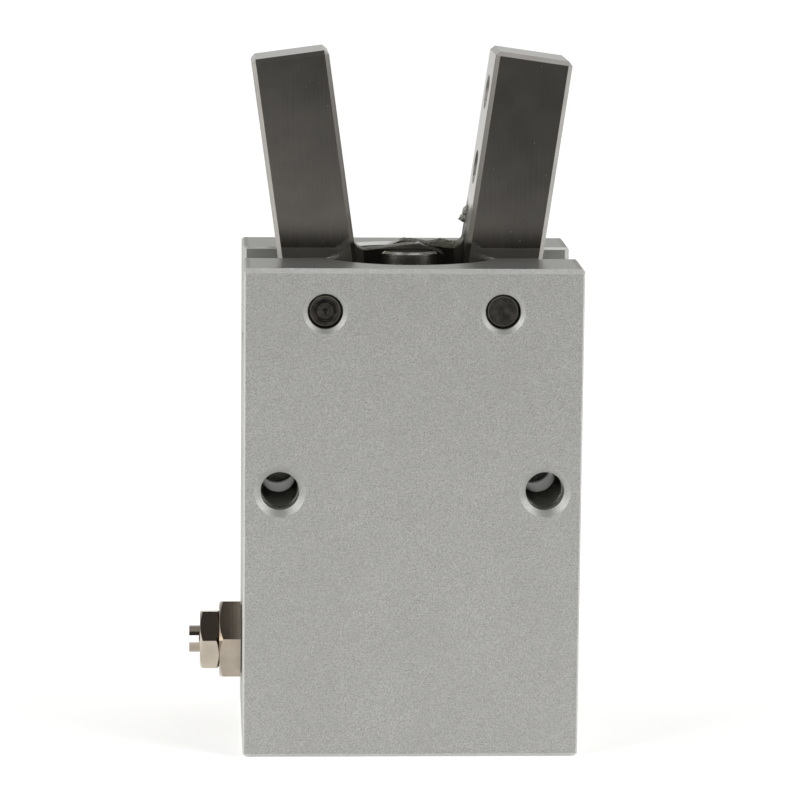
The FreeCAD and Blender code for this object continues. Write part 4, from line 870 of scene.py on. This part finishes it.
table = add(tree, "ShaderNodeMapRange", {"Value": axes["Z"], "From Min": TABLE_EDGE,
                                         "From Max": TABLE_DARK_BELOW},
            interpolation_type="SMOOTHSTEP")["Result"]
room = add(tree, "ShaderNodeMix", {"Factor": table, "A": hall, "B": linear("#35322E")},
           data_type="RGBA")["Result"]

# The tent's cloth is white, and a little dimmer at the back for all but the camera.
behind = add(tree, "ShaderNodeMapRange", {"Value": axes["Y"], "From Min": BACKDROP_START,
                                          "From Max": BACKDROP_FULL},
             interpolation_type="SMOOTHSTEP")["Result"]
shaded = add(tree, "ShaderNodeMath", {0: behind, 1: unseen}, operation="MULTIPLY")[0]
white = add(tree, "ShaderNodeMix", {"Factor": shaded, "A": linear("#FFFFFF"), "B": linear("#D0D0CE")},
            data_type="RGBA")["Result"]
cloth = add(tree, "ShaderNodeMix", {"Factor": dark, "A": white, "B": room}, data_type="RGBA")["Result"]
level = add(tree, "ShaderNodeMapRange", {"Value": unseen, "To Min": 1.0, "To Max": TENT_LIGHT})["Result"]
sky = add(tree, "ShaderNodeBackground", {"Color": cloth, "Strength": level})["Background"]
add(tree, "ShaderNodeOutputWorld", {"Surface": sky})
bpy.context.scene.world = tent

for name, side in (("left_lamp", -1), ("right_lamp", 1)):
    lamp_data = bpy.data.lights.new(name, "AREA")
    lamp_data.size = LAMP_SIZE
    lamp_data.energy = LAMP_POWER
    lamp = bpy.data.objects.new(name, lamp_data)
    towards_lamp = Vector((side * math.sin(LAMP_SIDE) * math.cos(LAMP_HEIGHT),
                           -math.cos(LAMP_SIDE) * math.cos(LAMP_HEIGHT), math.sin(LAMP_HEIGHT)))
    lamp.location = towards_lamp * LAMP_DISTANCE
    lamp.rotation_euler = towards_lamp.to_track_quat("Z", "Y").to_euler()
    bpy.context.scene.collection.objects.link(lamp)

camera_data = bpy.data.cameras.new("camera")
camera_data.lens = CAMERA_LENS
camera_data.sensor_width = CAMERA_SENSOR
camera = bpy.data.objects.new("camera", camera_data)
turn = (Matrix.Rotation(-CAMERA_YAW, 4, "Z") @ Matrix.Rotation(math.pi / 2 - CAMERA_DOWN, 4, "X")
        @ Matrix.Rotation(CAMERA_ROLL, 4, "Z"))
camera.matrix_world = Matrix.Translation(Vector(CAMERA_PLACE) / 1000) @ turn
bpy.context.scene.collection.objects.link(camera)
bpy.context.scene.camera = camera
